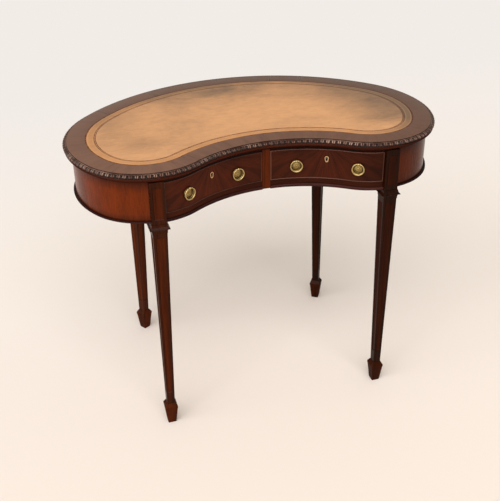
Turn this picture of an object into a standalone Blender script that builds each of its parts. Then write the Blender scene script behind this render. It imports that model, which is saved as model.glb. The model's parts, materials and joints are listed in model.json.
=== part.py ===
"""Kidney shaped writing desk: leather top with a carved edge, two bow drawers and four tapered legs.

Metres, +Z up. The origin is on the floor under the middle of the desk. The drawers face -Y and
+X is to the right of someone who stands in front of them.
"""

import math

import bmesh
import bpy
from mathutils import Vector

# Fits between pieces
GAP = 0.0003
OVERRUN = 0.004
DRAWER_CLEARANCE = 0.0007
RUNNING_GAP = 0.0004

# Plan of the flat top: arcs that meet smoothly, from the back round each end to the waist
BACK_RADIUS = 0.5477
BACK_TURN = math.radians(48.7)
END_RADIUS = 0.2698
END_TURN = math.radians(121.65)
LOBE_RADIUS = 0.170
WAIST_RADIUS = 0.327
QUARTER_TURN = math.radians(90.0)
HALF_TURN = math.radians(180.0)
FULL_TURN = math.radians(360.0)
SMOOTH_ANGLE = math.radians(40.0)
BACK_STEPS = 10
END_STEPS = 6
SHOULDER_STEPS = 4
LOBE_STEPS = 8
CHEEK_STEPS = 6
WAIST_STEPS = 8

# The top
DESK_HEIGHT = 0.760
BAND_THICKNESS = 0.0015
BAND_WIDTH = 0.0475
LEATHER_THICKNESS = 0.0013
BOARD_THICKNESS = 0.0234
BOARD_SETBACK = 0.008
CARVED_HEIGHT = 0.0095
CARVED_PROUD = 0.0085
CARVED_PROFILE_SHARES = ((0.0, 0.0), (0.55, 0.08), (0.92, 0.34), (1.0, 0.62), (0.75, 1.0))
UNDER_PROUD = 0.0058
UNDER_PROFILE_SHARES = ((0.85, 0.0), (1.0, 0.18), (0.85, 0.42), (0.1, 0.66), (-1.0, 1.0))

# Friezes, rails and the moulding round their foot
FRIEZE_INSET = 0.0113
FRIEZE_THICKNESS = 0.018
FRIEZE_HEIGHT = 0.1022
BASE_HEIGHT = 0.005
BASE_PROUD = 0.0062
FRONT_BASE_HEIGHT = 0.008
FRONT_BASE_PROUD = 0.0045
BASE_PROFILE_SHARES = ((0.55, 0.0), (0.9, 0.2), (1.0, 0.5), (0.9, 0.8), (0.6, 1.0))
RAIL_DEPTH = 0.030
TOP_RAIL_HEIGHT = 0.0063
BOTTOM_RAIL_HEIGHT = 0.0132
DIVIDER_WIDTH = 0.0205
DIVIDER_PROUD = 0.0015
DIVIDER_HALVING = 0.009
DIVIDER_DROP = 0.001

# Legs: a square post behind the frieze, a tapered leg, a collar and a spade foot
POST_WIDTH = 0.036
FRONT_POST_PROUD = 0.010
REAR_POST_PROUD = 0.008
FRONT_LEG_X = 0.2986
FRONT_LEG_SPREAD = (0.0041, 0.0024)
REAR_LEG_TURN = math.radians(32.7)
REAR_LEG_SPREAD = (0.0071, 0.0007)
ANKLE_WIDTH = 0.0209
PANEL_DEPTH = 0.0016
PANEL_MARGIN_SHARE = 0.17
PANEL_SLOPE = 0.0016
POST_PANEL_TOP_GAP = 0.0150
POST_PANEL_BOTTOM_GAP = 0.0120
LEG_PANEL_TOP_GAP = 0.0120
LEG_PANEL_BOTTOM_GAP = 0.0380
COLLAR_HEIGHT = 0.025
COLLAR_PROUD = 0.0068
COLLAR_PROFILE_SHARES = (
    (0.2, 0.0), (0.27, 0.14), (0.52, 0.31), (0.94, 0.43), (1.0, 0.46), (1.0, 0.50), (0.42, 0.56), (0.2, 0.67),
    (0.12, 0.80), (0.12, 1.0),
)
FOOT_HEIGHT = 0.067
FOOT_WIDTH = 0.0345
FOOT_PROFILE_SHARES = ((0.60, 0.0), (0.66, 0.05), (0.93, 0.70), (1.0, 0.80), (0.98, 0.85), (0.66, 1.0))
TENON_WIDTH = 0.013
TENON_LENGTH = 0.030

# Drawers
FRONT_THICKNESS = 0.018
FRONT_STEPS = 16
BEAD_THICKNESS = 0.003
BEAD_PROUD = 0.0015
BEAD_DEPTH = 0.0085
BEAD_FLAT = 0.0005
BEAD_NOSE = 0.00075
SIDE_THICKNESS = 0.008
INNER_SIDE_GAP = 0.00175
OUTER_SIDE_SETBACK = 0.008
SIDE_DROP = 0.009
BACK_PANEL_THICKNESS = 0.008
DRAWER_BACK_Y = 0.138
BOTTOM_THICKNESS = 0.004
BOTTOM_RISE = 0.0046
BOTTOM_LET_IN = 0.003
FRONT_LET_IN = 0.005

# Runners and stops
RUNNER_HEIGHT = 0.0145
INNER_RUNNER_WIDTH = 0.015
OUTER_RUNNER_START = 0.2611
OUTER_RUNNER_END = 0.2791
GUIDE_GAP = 0.0008
GUIDE_HEIGHT = 0.012
STOP_X = 0.150
STOP_LENGTH = 0.040
STOP_HEIGHT = 0.0038
STOP_DEPTH = 0.0105

# Locks
LOCK_X = 0.1493
LOCK_WIDTH = 0.044
LOCK_HEIGHT = 0.035
LOCK_FRONT = 0.0100
LOCK_BACK = 0.0172
BOLT_WIDTH = 0.0124
BOLT_THICKNESS = 0.0038
BOLT_LENGTH = 0.0150
BOLT_THROW = 0.005
KEYHOLE_DOWN = 0.0248
KEYHOLE_HEAD = 0.0030
KEYHOLE_TAIL = 0.0016
KEYHOLE_DROP = 0.0062
ESCUTCHEON_HEAD = 0.0053
ESCUTCHEON_TAIL = 0.0034
ESCUTCHEON_DROP = 0.0078
ESCUTCHEON_THICKNESS = 0.0012
HEAD_STEPS = 8
TAIL_STEPS = 4

# Ring pulls
PULL_OUTER_X = 0.2182
PULL_INNER_X = 0.0775
PULL_RISE_SHARE = 0.442
PLATE_RADIUS = 0.0155
PLATE_STEPS = 18
PLATE_RIM = 0.0020
PLATE_EDGE = 0.0012
BOSS_RADIUS = 0.009
BOSS_HEIGHT = 0.0034
PLATE_PROFILE_SHARES = ((1.0, 0.6), (0.96, 0.9), (0.90, 1.0), (0.82, 0.9), (0.74, 0.5))
BOSS_PROFILE_SHARES = ((1.0, 0.25), (0.98, 0.62), (0.62, 0.88), (0.22, 1.0))
SHANK_RADIUS = 0.0018
SHANK_LENGTH = 0.012
RING_RADIUS = 0.0148
RING_WIRE = 0.0019
RING_STEPS = 20
RING_SIDES = 8
RING_STANDOFF = 0.0055
HINGE_HALF_LENGTH = 0.0035
EYE_RADIUS = 0.0036
EYE_BORE = 0.0023
EYE_WIDTH = 0.0044
EYE_STEPS = 12
PILLAR_WIDTH = 0.0036

# Heights that follow
BOARD_TOP = DESK_HEIGHT - BAND_THICKNESS - GAP
BOARD_BOTTOM = BOARD_TOP - BOARD_THICKNESS
FRAME_TOP = BOARD_BOTTOM - GAP
CARVED_BOTTOM = BOARD_TOP - CARVED_HEIGHT
UNDER_TOP = CARVED_BOTTOM - GAP
UNDER_HEIGHT = UNDER_TOP - BOARD_BOTTOM
FRIEZE_BOTTOM = FRAME_TOP - FRIEZE_HEIGHT
BASE_TOP = FRIEZE_BOTTOM - GAP
BASE_BOTTOM = BASE_TOP - FRONT_BASE_HEIGHT
RAIL_TOP = FRIEZE_BOTTOM + BOTTOM_RAIL_HEIGHT
TOP_RAIL_BOTTOM = FRAME_TOP - TOP_RAIL_HEIGHT
COLLAR_TOP = BASE_BOTTOM - GAP
COLLAR_BOTTOM = COLLAR_TOP - COLLAR_HEIGHT
DRAWER_BOTTOM = RAIL_TOP + RUNNING_GAP
DRAWER_TOP = TOP_RAIL_BOTTOM - DRAWER_CLEARANCE
DRAWER_HEIGHT = DRAWER_TOP - DRAWER_BOTTOM
SIDE_TOP = DRAWER_TOP - SIDE_DROP
KEYHOLE_Z = DRAWER_TOP - KEYHOLE_DOWN
PULL_Z = DRAWER_BOTTOM + PULL_RISE_SHARE * DRAWER_HEIGHT
PANEL_BOTTOM = DRAWER_BOTTOM + BOTTOM_RISE
PANEL_TOP = PANEL_BOTTOM + BOTTOM_THICKNESS

# Offsets from the edge of the flat top, outwards
FACE = -FRIEZE_INSET
FRIEZE_BACK = FACE - FRIEZE_THICKNESS
RAIL_BACK = FACE - RAIL_DEPTH
FRONT_BACK = FACE - FRONT_THICKNESS

# Widths that follow
DIVIDER_EDGE = DIVIDER_WIDTH / 2
POST_HALF = POST_WIDTH / 2
POST_EDGE = FRONT_LEG_X - POST_HALF
FRONT_STEP = POST_EDGE / FRONT_STEPS
DRAWER_INNER_X = DIVIDER_EDGE + DRAWER_CLEARANCE
DRAWER_OUTER_X = POST_EDGE - DRAWER_CLEARANCE
INNER_SIDE_X = DIVIDER_EDGE + INNER_SIDE_GAP
OUTER_SIDE_X = POST_EDGE - OUTER_SIDE_SETBACK

# Colours and finishes: colour, roughness, metallic
FINISHES = {
    "banding": ((0.160, 0.090, 0.075), 0.28, 0.0),
    "leather": ((0.560, 0.340, 0.180), 0.55, 0.0),
    "carved_wood": ((0.050, 0.016, 0.010), 0.35, 0.0),
    "frieze_wood": ((0.190, 0.050, 0.018), 0.25, 0.0),
    "drawer_wood": ((0.085, 0.020, 0.010), 0.25, 0.0),
    "rail_wood": ((0.080, 0.020, 0.010), 0.30, 0.0),
    "leg_wood": ((0.055, 0.014, 0.008), 0.30, 0.0),
    "inner_wood": ((0.360, 0.220, 0.110), 0.60, 0.0),
    "brass": ((0.560, 0.400, 0.160), 0.30, 1.0),
    "steel": ((0.350, 0.340, 0.320), 0.45, 1.0),
}


def direction(turn):
    """Unit vector in plan, turned from +Y towards +X."""
    return Vector((math.sin(turn), math.cos(turn)))


def plan_centres():
    """Centres of the back, end, lobe and waist arcs, and the turn at which lobe and waist meet.

    The back and the lobes reach equally far from the origin.
    """
    to_end = (BACK_RADIUS - END_RADIUS) * direction(BACK_TURN)
    to_lobe = (END_RADIUS - LOBE_RADIUS) * direction(END_TURN)
    back_y = -(BACK_RADIUS - LOBE_RADIUS + to_end.y + to_lobe.y) / 2
    back = Vector((0.0, back_y))
    end = back + to_end
    lobe = end + to_lobe
    reach = LOBE_RADIUS + WAIST_RADIUS
    waist_turn = math.asin(lobe.x / reach)
    waist = lobe + reach * direction(HALF_TURN + waist_turn)
    return back, end, lobe, waist, waist_turn


BACK_CENTRE, END_CENTRE, LOBE_CENTRE, WAIST_CENTRE, WAIST_TURN = plan_centres()


def arc(centre, radius, start, end, steps):
    """Points along an arc, without its last one."""
    turns = [start + (end - start) * k / steps for k in range(steps)]
    return [centre + radius * direction(turn) for turn in turns]


def outline(offset):
    """The kidney shape, grown outwards by an offset, as points that run all the way round."""
    half = arc(BACK_CENTRE, BACK_RADIUS + offset, 0.0, BACK_TURN, BACK_STEPS)
    half += arc(END_CENTRE, END_RADIUS + offset, BACK_TURN, QUARTER_TURN, END_STEPS)
    half += arc(END_CENTRE, END_RADIUS + offset, QUARTER_TURN, END_TURN, SHOULDER_STEPS)
    half += arc(LOBE_CENTRE, LOBE_RADIUS + offset, END_TURN, HALF_TURN, LOBE_STEPS)
    half += arc(LOBE_CENTRE, LOBE_RADIUS + offset, HALF_TURN, HALF_TURN + WAIST_TURN, CHEEK_STEPS)
    half += arc(WAIST_CENTRE, WAIST_RADIUS - offset, WAIST_TURN, 0.0, WAIST_STEPS)
    waist = WAIST_CENTRE + (WAIST_RADIUS - offset) * direction(0.0)
    mirrored = [Vector((-point.x, point.y)) for point in reversed(half[1:])]
    return half + [waist] + mirrored


def curve_y(offset, x):
    """How far back the front curve lies at x, for a curve grown outwards by an offset."""
    across = abs(x)
    lobe_radius = LOBE_RADIUS + offset
    meeting = LOBE_CENTRE.x - lobe_radius * math.sin(WAIST_TURN)
    if across <= meeting:
        return WAIST_CENTRE.y + math.sqrt((WAIST_RADIUS - offset) ** 2 - across**2)
    return LOBE_CENTRE.y - math.sqrt(lobe_radius**2 - (across - LOBE_CENTRE.x) ** 2)


def front_y(offset, x):
    """The front curve as every piece along it is made, straight between shared stations."""
    station = math.floor(abs(x) / FRONT_STEP)
    share = abs(x) / FRONT_STEP - station
    near = curve_y(offset, station * FRONT_STEP)
    far = curve_y(offset, (station + 1) * FRONT_STEP)
    return near + share * (far - near)


def front_stations(start, end, margin=0.0):
    """Values of x from start to end, with the shared stations that lie further than a margin inside."""
    count = math.ceil(end / FRONT_STEP)
    inside = [k * FRONT_STEP for k in range(-count, count + 1)]
    return [start] + [x for x in inside if start + margin < x < end - margin] + [end]


def back_y(offset, x):
    """How far back the back line lies at x."""
    return BACK_CENTRE.y + math.sqrt((BACK_RADIUS + offset) ** 2 - x**2)


def face_normal(x):
    """Unit vector that points out of the drawer front at x."""
    across = abs(x)
    point = Vector((across, curve_y(FACE, x)))
    meeting = LOBE_CENTRE.x - (LOBE_RADIUS + FACE) * math.sin(WAIST_TURN)
    normal = (WAIST_CENTRE - point) if across <= meeting else (point - LOBE_CENTRE)
    normal.normalize()
    return Vector((math.copysign(normal.x, normal.x * x), normal.y))


def spread(start, end, steps):
    """Evenly spaced values from start to end, both included."""
    return [start + (end - start) * k / steps for k in range(steps + 1)]


def clear_scene():
    for obj in list(bpy.data.objects):
        bpy.data.objects.remove(obj, do_unlink=True)


def finish(name, kind):
    """A material of its own for one piece."""
    colour, roughness, metallic = FINISHES[kind]
    material = bpy.data.materials.new(name)
    material.use_nodes = True
    shader = material.node_tree.nodes["Principled BSDF"]
    shader.inputs["Base Color"].default_value = (*colour, 1.0)
    shader.inputs["Roughness"].default_value = roughness
    shader.inputs["Metallic"].default_value = metallic
    return material


def carrier(name, place):
    """An empty that moving pieces hang from."""
    empty = bpy.data.objects.new(name, None)
    empty.location = place
    bpy.context.scene.collection.objects.link(empty)
    return empty


def solid(name, sections, kind=None, closed=False, parent=None, origin=None, smooth=False, strips=False):
    """A skin over a row of sections, each a list of points, capped at its ends unless it closes.

    A cap is one face, or with strips a row of faces that joins a section's first half to its second.
    A kind is a finish; without one the solid is a cutter and stays out of the render.
    """
    base = origin or (parent.location if parent else Vector((0.0, 0.0, 0.0)))
    shape = bmesh.new()
    rows = [[shape.verts.new(Vector(point) - base) for point in section] for section in sections]
    pairs = list(zip(rows, rows[1:]))
    if closed:
        pairs.append((rows[-1], rows[0]))
    for first, second in pairs:
        for k in range(len(first)):
            after = (k + 1) % len(first)
            shape.faces.new((first[k], first[after], second[after], second[k]))
    for row in () if closed else (rows[0], rows[-1]):
        if not strips:
            shape.faces.new(row)
            continue
        for k in range(len(row) // 2 - 1):
            shape.faces.new((row[k], row[k + 1], row[-k - 2], row[-k - 1]))
    bmesh.ops.recalc_face_normals(shape, faces=shape.faces)
    mesh = bpy.data.meshes.new(name)
    shape.to_mesh(mesh)
    shape.free()
    if smooth:
        mesh.shade_smooth()
        mesh.set_sharp_from_angle(angle=SMOOTH_ANGLE)
    obj = bpy.data.objects.new(name, mesh)
    bpy.context.scene.collection.objects.link(obj)
    if kind:
        mesh.materials.append(finish(name, kind))
    else:
        obj.hide_render = True
        obj.display_type = "WIRE"
    obj.parent = parent
    obj.location = base - (parent.location if parent else Vector((0.0, 0.0, 0.0)))
    return obj


def cut(obj, cutter, operation="DIFFERENCE"):
    modifier = obj.modifiers.new(cutter.name, "BOOLEAN")
    modifier.operation = operation
    modifier.solver = "EXACT"
    modifier.object = cutter


def sweep(name, run, section, kind=None, closed=False, **rest):
    """A section of (offset, height) points carried along a run, which gives a line for each offset."""
    lines = {offset: run(offset) for offset, _ in section}
    count = len(next(iter(lines.values())))
    sections = []
    for k in range(count):
        sections.append([(*lines[offset][k], height) for offset, height in section])
    return solid(name, sections, kind, closed=closed, smooth=True, **rest)


def slab(name, xs, front, back, bottom, top, kind=None, **rest):
    """A flat piece whose front and back edges are given as functions of x."""
    sections = []
    for x in xs:
        near = front(x)
        far = back(x)
        sections.append([(x, near, bottom), (x, far, bottom), (x, far, top), (x, near, top)])
    return solid(name, sections, kind, **rest)


def level(value):
    """A straight edge for slab."""
    return lambda x: value


def profile(shares, proud, top, height, base=0.0):
    """Offsets and heights of a moulding's face, from shares of how far it stands out and drops."""
    return [(base + out * proud, top - down * height) for out, down in shares]


def make_top():
    board = outline(-BOARD_SETBACK)
    solid("top_board", [[(*p, z) for p in board] for z in (BOARD_BOTTOM, BOARD_TOP)], "inner_wood")

    band_bottom = DESK_HEIGHT - BAND_THICKNESS
    band = [(0.0, band_bottom), (0.0, DESK_HEIGHT), (-BAND_WIDTH, DESK_HEIGHT), (-BAND_WIDTH, band_bottom)]
    sweep("top_crossbanding", outline, band, "banding", closed=True)

    hide = outline(-BAND_WIDTH - GAP)
    levels = (band_bottom, band_bottom + LEATHER_THICKNESS)
    solid("leather_writing_surface", [[(*p, z) for p in hide] for z in levels], "leather")

    inner = GAP - BOARD_SETBACK
    carved = [(inner, BOARD_TOP)]
    carved += profile(CARVED_PROFILE_SHARES, CARVED_PROUD, BOARD_TOP, CARVED_HEIGHT)
    carved += [(inner, CARVED_BOTTOM)]
    sweep("carved_edge_moulding", outline, carved, "carved_wood", closed=True)

    under = [(inner, UNDER_TOP)]
    under += profile(UNDER_PROFILE_SHARES, UNDER_PROUD, UNDER_TOP, UNDER_HEIGHT)
    under += [(inner, BOARD_BOTTOM)]
    sweep("top_under_moulding", outline, under, "carved_wood", closed=True)


def rear_leg_place():
    """Centre of a right rear post, which stands a little proud of the back frieze's face."""
    radius = BACK_RADIUS + FACE + REAR_POST_PROUD - POST_HALF
    return BACK_CENTRE + radius * direction(REAR_LEG_TURN)


def front_leg_place():
    """Centre of the right front post."""
    return Vector((FRONT_LEG_X, curve_y(FACE, FRONT_LEG_X) - FRONT_POST_PROUD + POST_HALF))


def back_run(offset):
    """Between the two rear posts."""
    radius = BACK_RADIUS + offset
    reach = REAR_LEG_TURN - math.asin((POST_HALF + GAP) / radius)
    return [BACK_CENTRE + radius * direction(turn) for turn in spread(-reach, reach, 2 * BACK_STEPS)]


def end_run(side):
    """From a rear post round the end to the front post, on one side of the desk."""

    def run(offset):
        radius = BACK_RADIUS + offset
        start = REAR_LEG_TURN + math.asin((POST_HALF + GAP) / radius)
        post_side = FRONT_LEG_X + POST_HALF + GAP - LOBE_CENTRE.x
        end = HALF_TURN - math.asin(post_side / (LOBE_RADIUS + offset))
        line = arc(BACK_CENTRE, radius, start, BACK_TURN, SHOULDER_STEPS)
        line += arc(END_CENTRE, END_RADIUS + offset, BACK_TURN, END_TURN, END_STEPS + SHOULDER_STEPS)
        line += arc(LOBE_CENTRE, LOBE_RADIUS + offset, END_TURN, end, LOBE_STEPS)
        line.append(LOBE_CENTRE + (LOBE_RADIUS + offset) * direction(end))
        return [Vector((side * point.x, point.y)) for point in line]

    return run


def front_run(offset):
    """Between the two front posts."""
    edge = POST_EDGE - GAP
    return [Vector((x, front_y(offset, x))) for x in front_stations(-edge, edge, GAP)]


def make_friezes():
    frieze = [(FACE, FRIEZE_BOTTOM), (FACE, FRAME_TOP), (FRIEZE_BACK, FRAME_TOP), (FRIEZE_BACK, FRIEZE_BOTTOM)]
    base = profile(BASE_PROFILE_SHARES, BASE_PROUD, BASE_TOP, BASE_HEIGHT, FACE)
    base = [(FRIEZE_BACK, BASE_TOP)] + base + [(FRIEZE_BACK, BASE_TOP - BASE_HEIGHT)]
    for side, word in ((-1, "left"), (1, "right")):
        sweep(f"end_frieze_{word}", end_run(side), frieze, "frieze_wood")
        sweep(f"end_base_moulding_{word}", end_run(side), base, "rail_wood")
    sweep("back_frieze", back_run, frieze, "frieze_wood")
    sweep("back_base_moulding", back_run, base, "rail_wood")


def make_rails():
    """The two rails above and below the drawers, halved round the divider, and the front moulding."""
    bottom = [(FACE, FRIEZE_BOTTOM), (FACE, RAIL_TOP), (RAIL_BACK, RAIL_TOP), (RAIL_BACK, FRIEZE_BOTTOM)]
    top = [(FACE, TOP_RAIL_BOTTOM), (FACE, FRAME_TOP), (RAIL_BACK, FRAME_TOP), (RAIL_BACK, TOP_RAIL_BOTTOM)]
    base = profile(BASE_PROFILE_SHARES, FRONT_BASE_PROUD, BASE_TOP, FRONT_BASE_HEIGHT, FACE)
    base = [(RAIL_BACK, BASE_TOP)] + base + [(RAIL_BACK, BASE_BOTTOM)]
    bottom_rail = sweep("drawer_bottom_rail", front_run, bottom, "rail_wood")
    top_rail = sweep("drawer_top_rail", front_run, top, "rail_wood")
    moulding = sweep("front_base_moulding", front_run, base, "rail_wood")

    edge = DIVIDER_EDGE + GAP
    near = front_y(FACE, 0.0) - DIVIDER_PROUD - OVERRUN
    far = front_y(FACE, 0.0) + DIVIDER_HALVING + GAP
    notch_levels = (BASE_BOTTOM - OVERRUN, FRAME_TOP + OVERRUN)
    notch = slab("divider_notch", (-edge, edge), level(near), level(far), *notch_levels)
    for rail in (bottom_rail, top_rail, moulding):
        cut(rail, notch)

    mortise_levels = (TOP_RAIL_BOTTOM - OVERRUN, TOP_RAIL_BOTTOM + BOLT_THROW + GAP)
    for side, word in ((-1, "left"), (1, "right")):
        cut(top_rail, lock_block(f"bolt_mortise_{word}", side, BOLT_WIDTH, bolt_depths(GAP), *mortise_levels, GAP))


def make_divider():
    """A partition from front to back, halved over both rails, whose stile shows between the drawers."""
    near = front_y(FACE, 0.0) - DIVIDER_PROUD
    halving = front_y(FACE, 0.0) + DIVIDER_HALVING
    behind = front_y(RAIL_BACK, 0.0) + GAP
    far = back_y(FRIEZE_BACK, DIVIDER_EDGE) - GAP
    foot = BASE_BOTTOM + DIVIDER_DROP
    outline_yz = [
        (near, foot), (halving, foot), (halving, RAIL_TOP + GAP), (behind, RAIL_TOP + GAP),
        (behind, FRIEZE_BOTTOM), (far, FRIEZE_BOTTOM), (far, FRAME_TOP), (behind, FRAME_TOP),
        (behind, TOP_RAIL_BOTTOM - GAP), (halving, TOP_RAIL_BOTTOM - GAP), (halving, FRAME_TOP), (near, FRAME_TOP),
    ]
    sections = [[(x, y, z) for y, z in outline_yz] for x in (-DIVIDER_EDGE, DIVIDER_EDGE)]
    solid("centre_divider", sections, "frieze_wood")


def square(place, turn, half, height):
    """Corners of a level square."""
    along = direction(turn)
    across = direction(turn + QUARTER_TURN)
    corners = []
    for u, v in ((-1, -1), (1, -1), (1, 1), (-1, 1)):
        point = place + u * half * across + v * half * along
        corners.append((*point, height))
    return corners


def panelled_square(place, turn, half, height, depth):
    """A level square whose four sides are sunk by depth between their margins."""
    along = direction(turn)
    across = direction(turn + QUARTER_TURN)
    margin = 2 * half * PANEL_MARGIN_SHARE
    side = [(-half, half), (margin - half, half), (margin + depth - half, half - depth)]
    side += [(half - margin - depth, half - depth), (half - margin, half)]
    points = []
    for quarter in range(4):
        right = direction(quarter * QUARTER_TURN + QUARTER_TURN)
        ahead = direction(quarter * QUARTER_TURN)
        for u, v in side:
            local = u * right + v * ahead
            points.append((*(place + local.x * across + local.y * along), height))
    return points


def panel_levels(top, bottom):
    """Heights and depths of a sunk panel's edges."""
    return [(top, 0.0), (top - PANEL_SLOPE, PANEL_DEPTH), (bottom + PANEL_SLOPE, PANEL_DEPTH), (bottom, 0.0)]


def make_leg(word, place, foot_place, turn):
    """A post with sunk sides that runs on as a tapered leg and ends in a tenon inside its foot."""
    shoulder = FOOT_HEIGHT + GAP
    levels = [(FRAME_TOP, 0.0)]
    levels += panel_levels(FRAME_TOP - POST_PANEL_TOP_GAP, COLLAR_TOP + POST_PANEL_BOTTOM_GAP)
    levels.append((COLLAR_BOTTOM, 0.0))
    levels += panel_levels(COLLAR_BOTTOM - LEG_PANEL_TOP_GAP, FOOT_HEIGHT + LEG_PANEL_BOTTOM_GAP)
    levels.append((shoulder, 0.0))
    sections = []
    for height, depth in levels:
        down = max(0.0, (COLLAR_BOTTOM - height) / (COLLAR_BOTTOM - shoulder))
        half = POST_HALF + down * (ANKLE_WIDTH / 2 - POST_HALF)
        sections.append(panelled_square(place.lerp(foot_place, down), turn, half, height, depth))
    tenon_end = FOOT_HEIGHT - TENON_LENGTH + GAP
    for height in (shoulder, tenon_end):
        sections.append(panelled_square(foot_place, turn, TENON_WIDTH / 2, height, 0.0))
    solid(f"leg_{word}", sections, "leg_wood")


def make_collar(word, place, turn):
    """A square moulding round the leg, under the frieze."""
    rings = [(GAP, COLLAR_TOP)]
    rings += profile(COLLAR_PROFILE_SHARES, COLLAR_PROUD, COLLAR_TOP, COLLAR_HEIGHT)
    rings.append((GAP, COLLAR_BOTTOM))
    squares = [square(place, turn, POST_HALF + out, height) for out, height in rings]
    corners = [[ring[k] for ring in squares] for k in range(4)]
    solid(f"leg_collar_{word}", corners, "leg_wood", closed=True)


def make_foot(word, place, turn):
    """A spade foot, open at its top for the leg's tenon."""
    levels = [(FOOT_WIDTH / 2 * wide, FOOT_HEIGHT * high) for wide, high in FOOT_PROFILE_SHARES]
    mortise = TENON_WIDTH / 2 + GAP
    levels += [(mortise, FOOT_HEIGHT), (mortise, FOOT_HEIGHT - TENON_LENGTH)]
    solid(f"spade_foot_{word}", [square(place, turn, half, z) for half, z in levels], "leg_wood")


def make_legs():
    front = front_leg_place()
    rear = rear_leg_place()
    legs = (("front", front, FRONT_LEG_SPREAD, HALF_TURN), ("rear", rear, REAR_LEG_SPREAD, REAR_LEG_TURN))
    for side, hand in ((-1, "left"), (1, "right")):
        for name, place, out, turn in legs:
            post = Vector((side * place.x, place.y))
            foot = Vector((side * (place.x + out[0]), place.y + out[1]))
            word = f"{name}_{hand}"
            make_leg(word, post, foot, side * turn)
            make_collar(word, post, side * turn)
            make_foot(word, foot, side * turn)


def make_runners():
    """Strips that the drawer sides slide on: plain ones on the divider, and outer ones with a guide."""
    place = rear_leg_place()
    normal = direction(REAR_LEG_TURN)

    def rail_behind(x):
        return front_y(RAIL_BACK, x) + GAP

    def frieze_ahead(x):
        return back_y(FRIEZE_BACK, x) - GAP

    def post_ahead(x):
        return place.y - (POST_HALF + GAP + (abs(x) - place.x) * normal.x) / normal.y

    guide = OUTER_SIDE_X + GUIDE_GAP
    start = DIVIDER_EDGE + GAP
    ledge = RAIL_TOP - RUNNER_HEIGHT
    for side, word in ((-1, "left"), (1, "right")):
        xs = (side * start, side * (start + INNER_RUNNER_WIDTH))
        slab(f"inner_runner_{word}", xs, rail_behind, frieze_ahead, ledge, RAIL_TOP, "inner_wood")

        section = [
            (OUTER_RUNNER_START, ledge), (OUTER_RUNNER_END, ledge), (OUTER_RUNNER_END, RAIL_TOP + GUIDE_HEIGHT),
            (guide, RAIL_TOP + GUIDE_HEIGHT), (guide, RAIL_TOP), (OUTER_RUNNER_START, RAIL_TOP),
        ]
        ends = [[(side * x, end(x), z) for x, z in section] for end in (rail_behind, post_ahead)]
        solid(f"outer_runner_{word}", ends, "inner_wood")

        reach = STOP_LENGTH / 2
        xs = [side * x for x in front_stations(STOP_X - reach, STOP_X + reach, GAP)]
        foot = RAIL_TOP + GAP
        slab(
            f"drawer_stop_{word}", xs, lambda x: front_y(FRONT_BACK, x) + GAP,
            lambda x: front_y(FRONT_BACK, x) + STOP_DEPTH, foot, foot + STOP_HEIGHT - GAP, "inner_wood",
        )


def on_face(x, along, height, depth):
    """A point set out from the drawer face at x: along it, at a height, and so deep behind it."""
    normal = face_normal(x)
    base = Vector((x, front_y(FACE, x)))
    tangent = Vector((-normal.y, normal.x))
    return (*(base + along * tangent - depth * normal), height)


def face_prism(name, x, loop, near, far, kind=None, **rest):
    """A flat shape of (along, height) points that runs from one depth behind the face to another."""
    return solid(name, [[on_face(x, s, z, d) for s, z in loop] for d in (near, far)], kind, **rest)


def bolt_depths(grow):
    """Where the lock's bolt starts and ends behind the face."""
    middle = (LOCK_FRONT + LOCK_BACK) / 2
    half = BOLT_THICKNESS / 2 + grow
    return middle - half, middle + half


def lock_block(name, side, width, depths, bottom, top, grow, kind=None, **rest):
    """A block centred on the lock, made wider by grow on each side."""
    half = width / 2 + grow
    loop = [(-half, bottom), (half, bottom), (half, top), (-half, top)]
    return face_prism(name, side * LOCK_X, loop, *depths, kind, **rest)


def pear(head, tail, drop):
    """A round head over a smaller round tail, joined by straight sides, as (along, height) points."""
    lean = math.asin((head - tail) / drop)
    points = []
    for turn in spread(-lean, HALF_TURN + lean, HEAD_STEPS):
        points.append((head * math.cos(turn), KEYHOLE_Z + head * math.sin(turn)))
    for turn in spread(HALF_TURN + lean, FULL_TURN - lean, TAIL_STEPS):
        points.append((tail * math.cos(turn), KEYHOLE_Z - drop + tail * math.sin(turn)))
    return points


def front_loop(side, inset, out):
    """Points round the edge of a drawer front, at an inset from the edge and a distance out of the face.

    They run along the bottom from the divider to the post, and back along the top.
    """
    stations = front_stations(DRAWER_INNER_X, DRAWER_OUTER_X, BEAD_THICKNESS + 2 * GAP)
    stations[0] += inset
    stations[-1] -= inset
    along = [(side * x, front_y(FACE + out, x)) for x in stations]
    low = [(*point, DRAWER_BOTTOM + inset) for point in along]
    return low + [(*point, DRAWER_TOP - inset) for point in reversed(along)]


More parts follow.
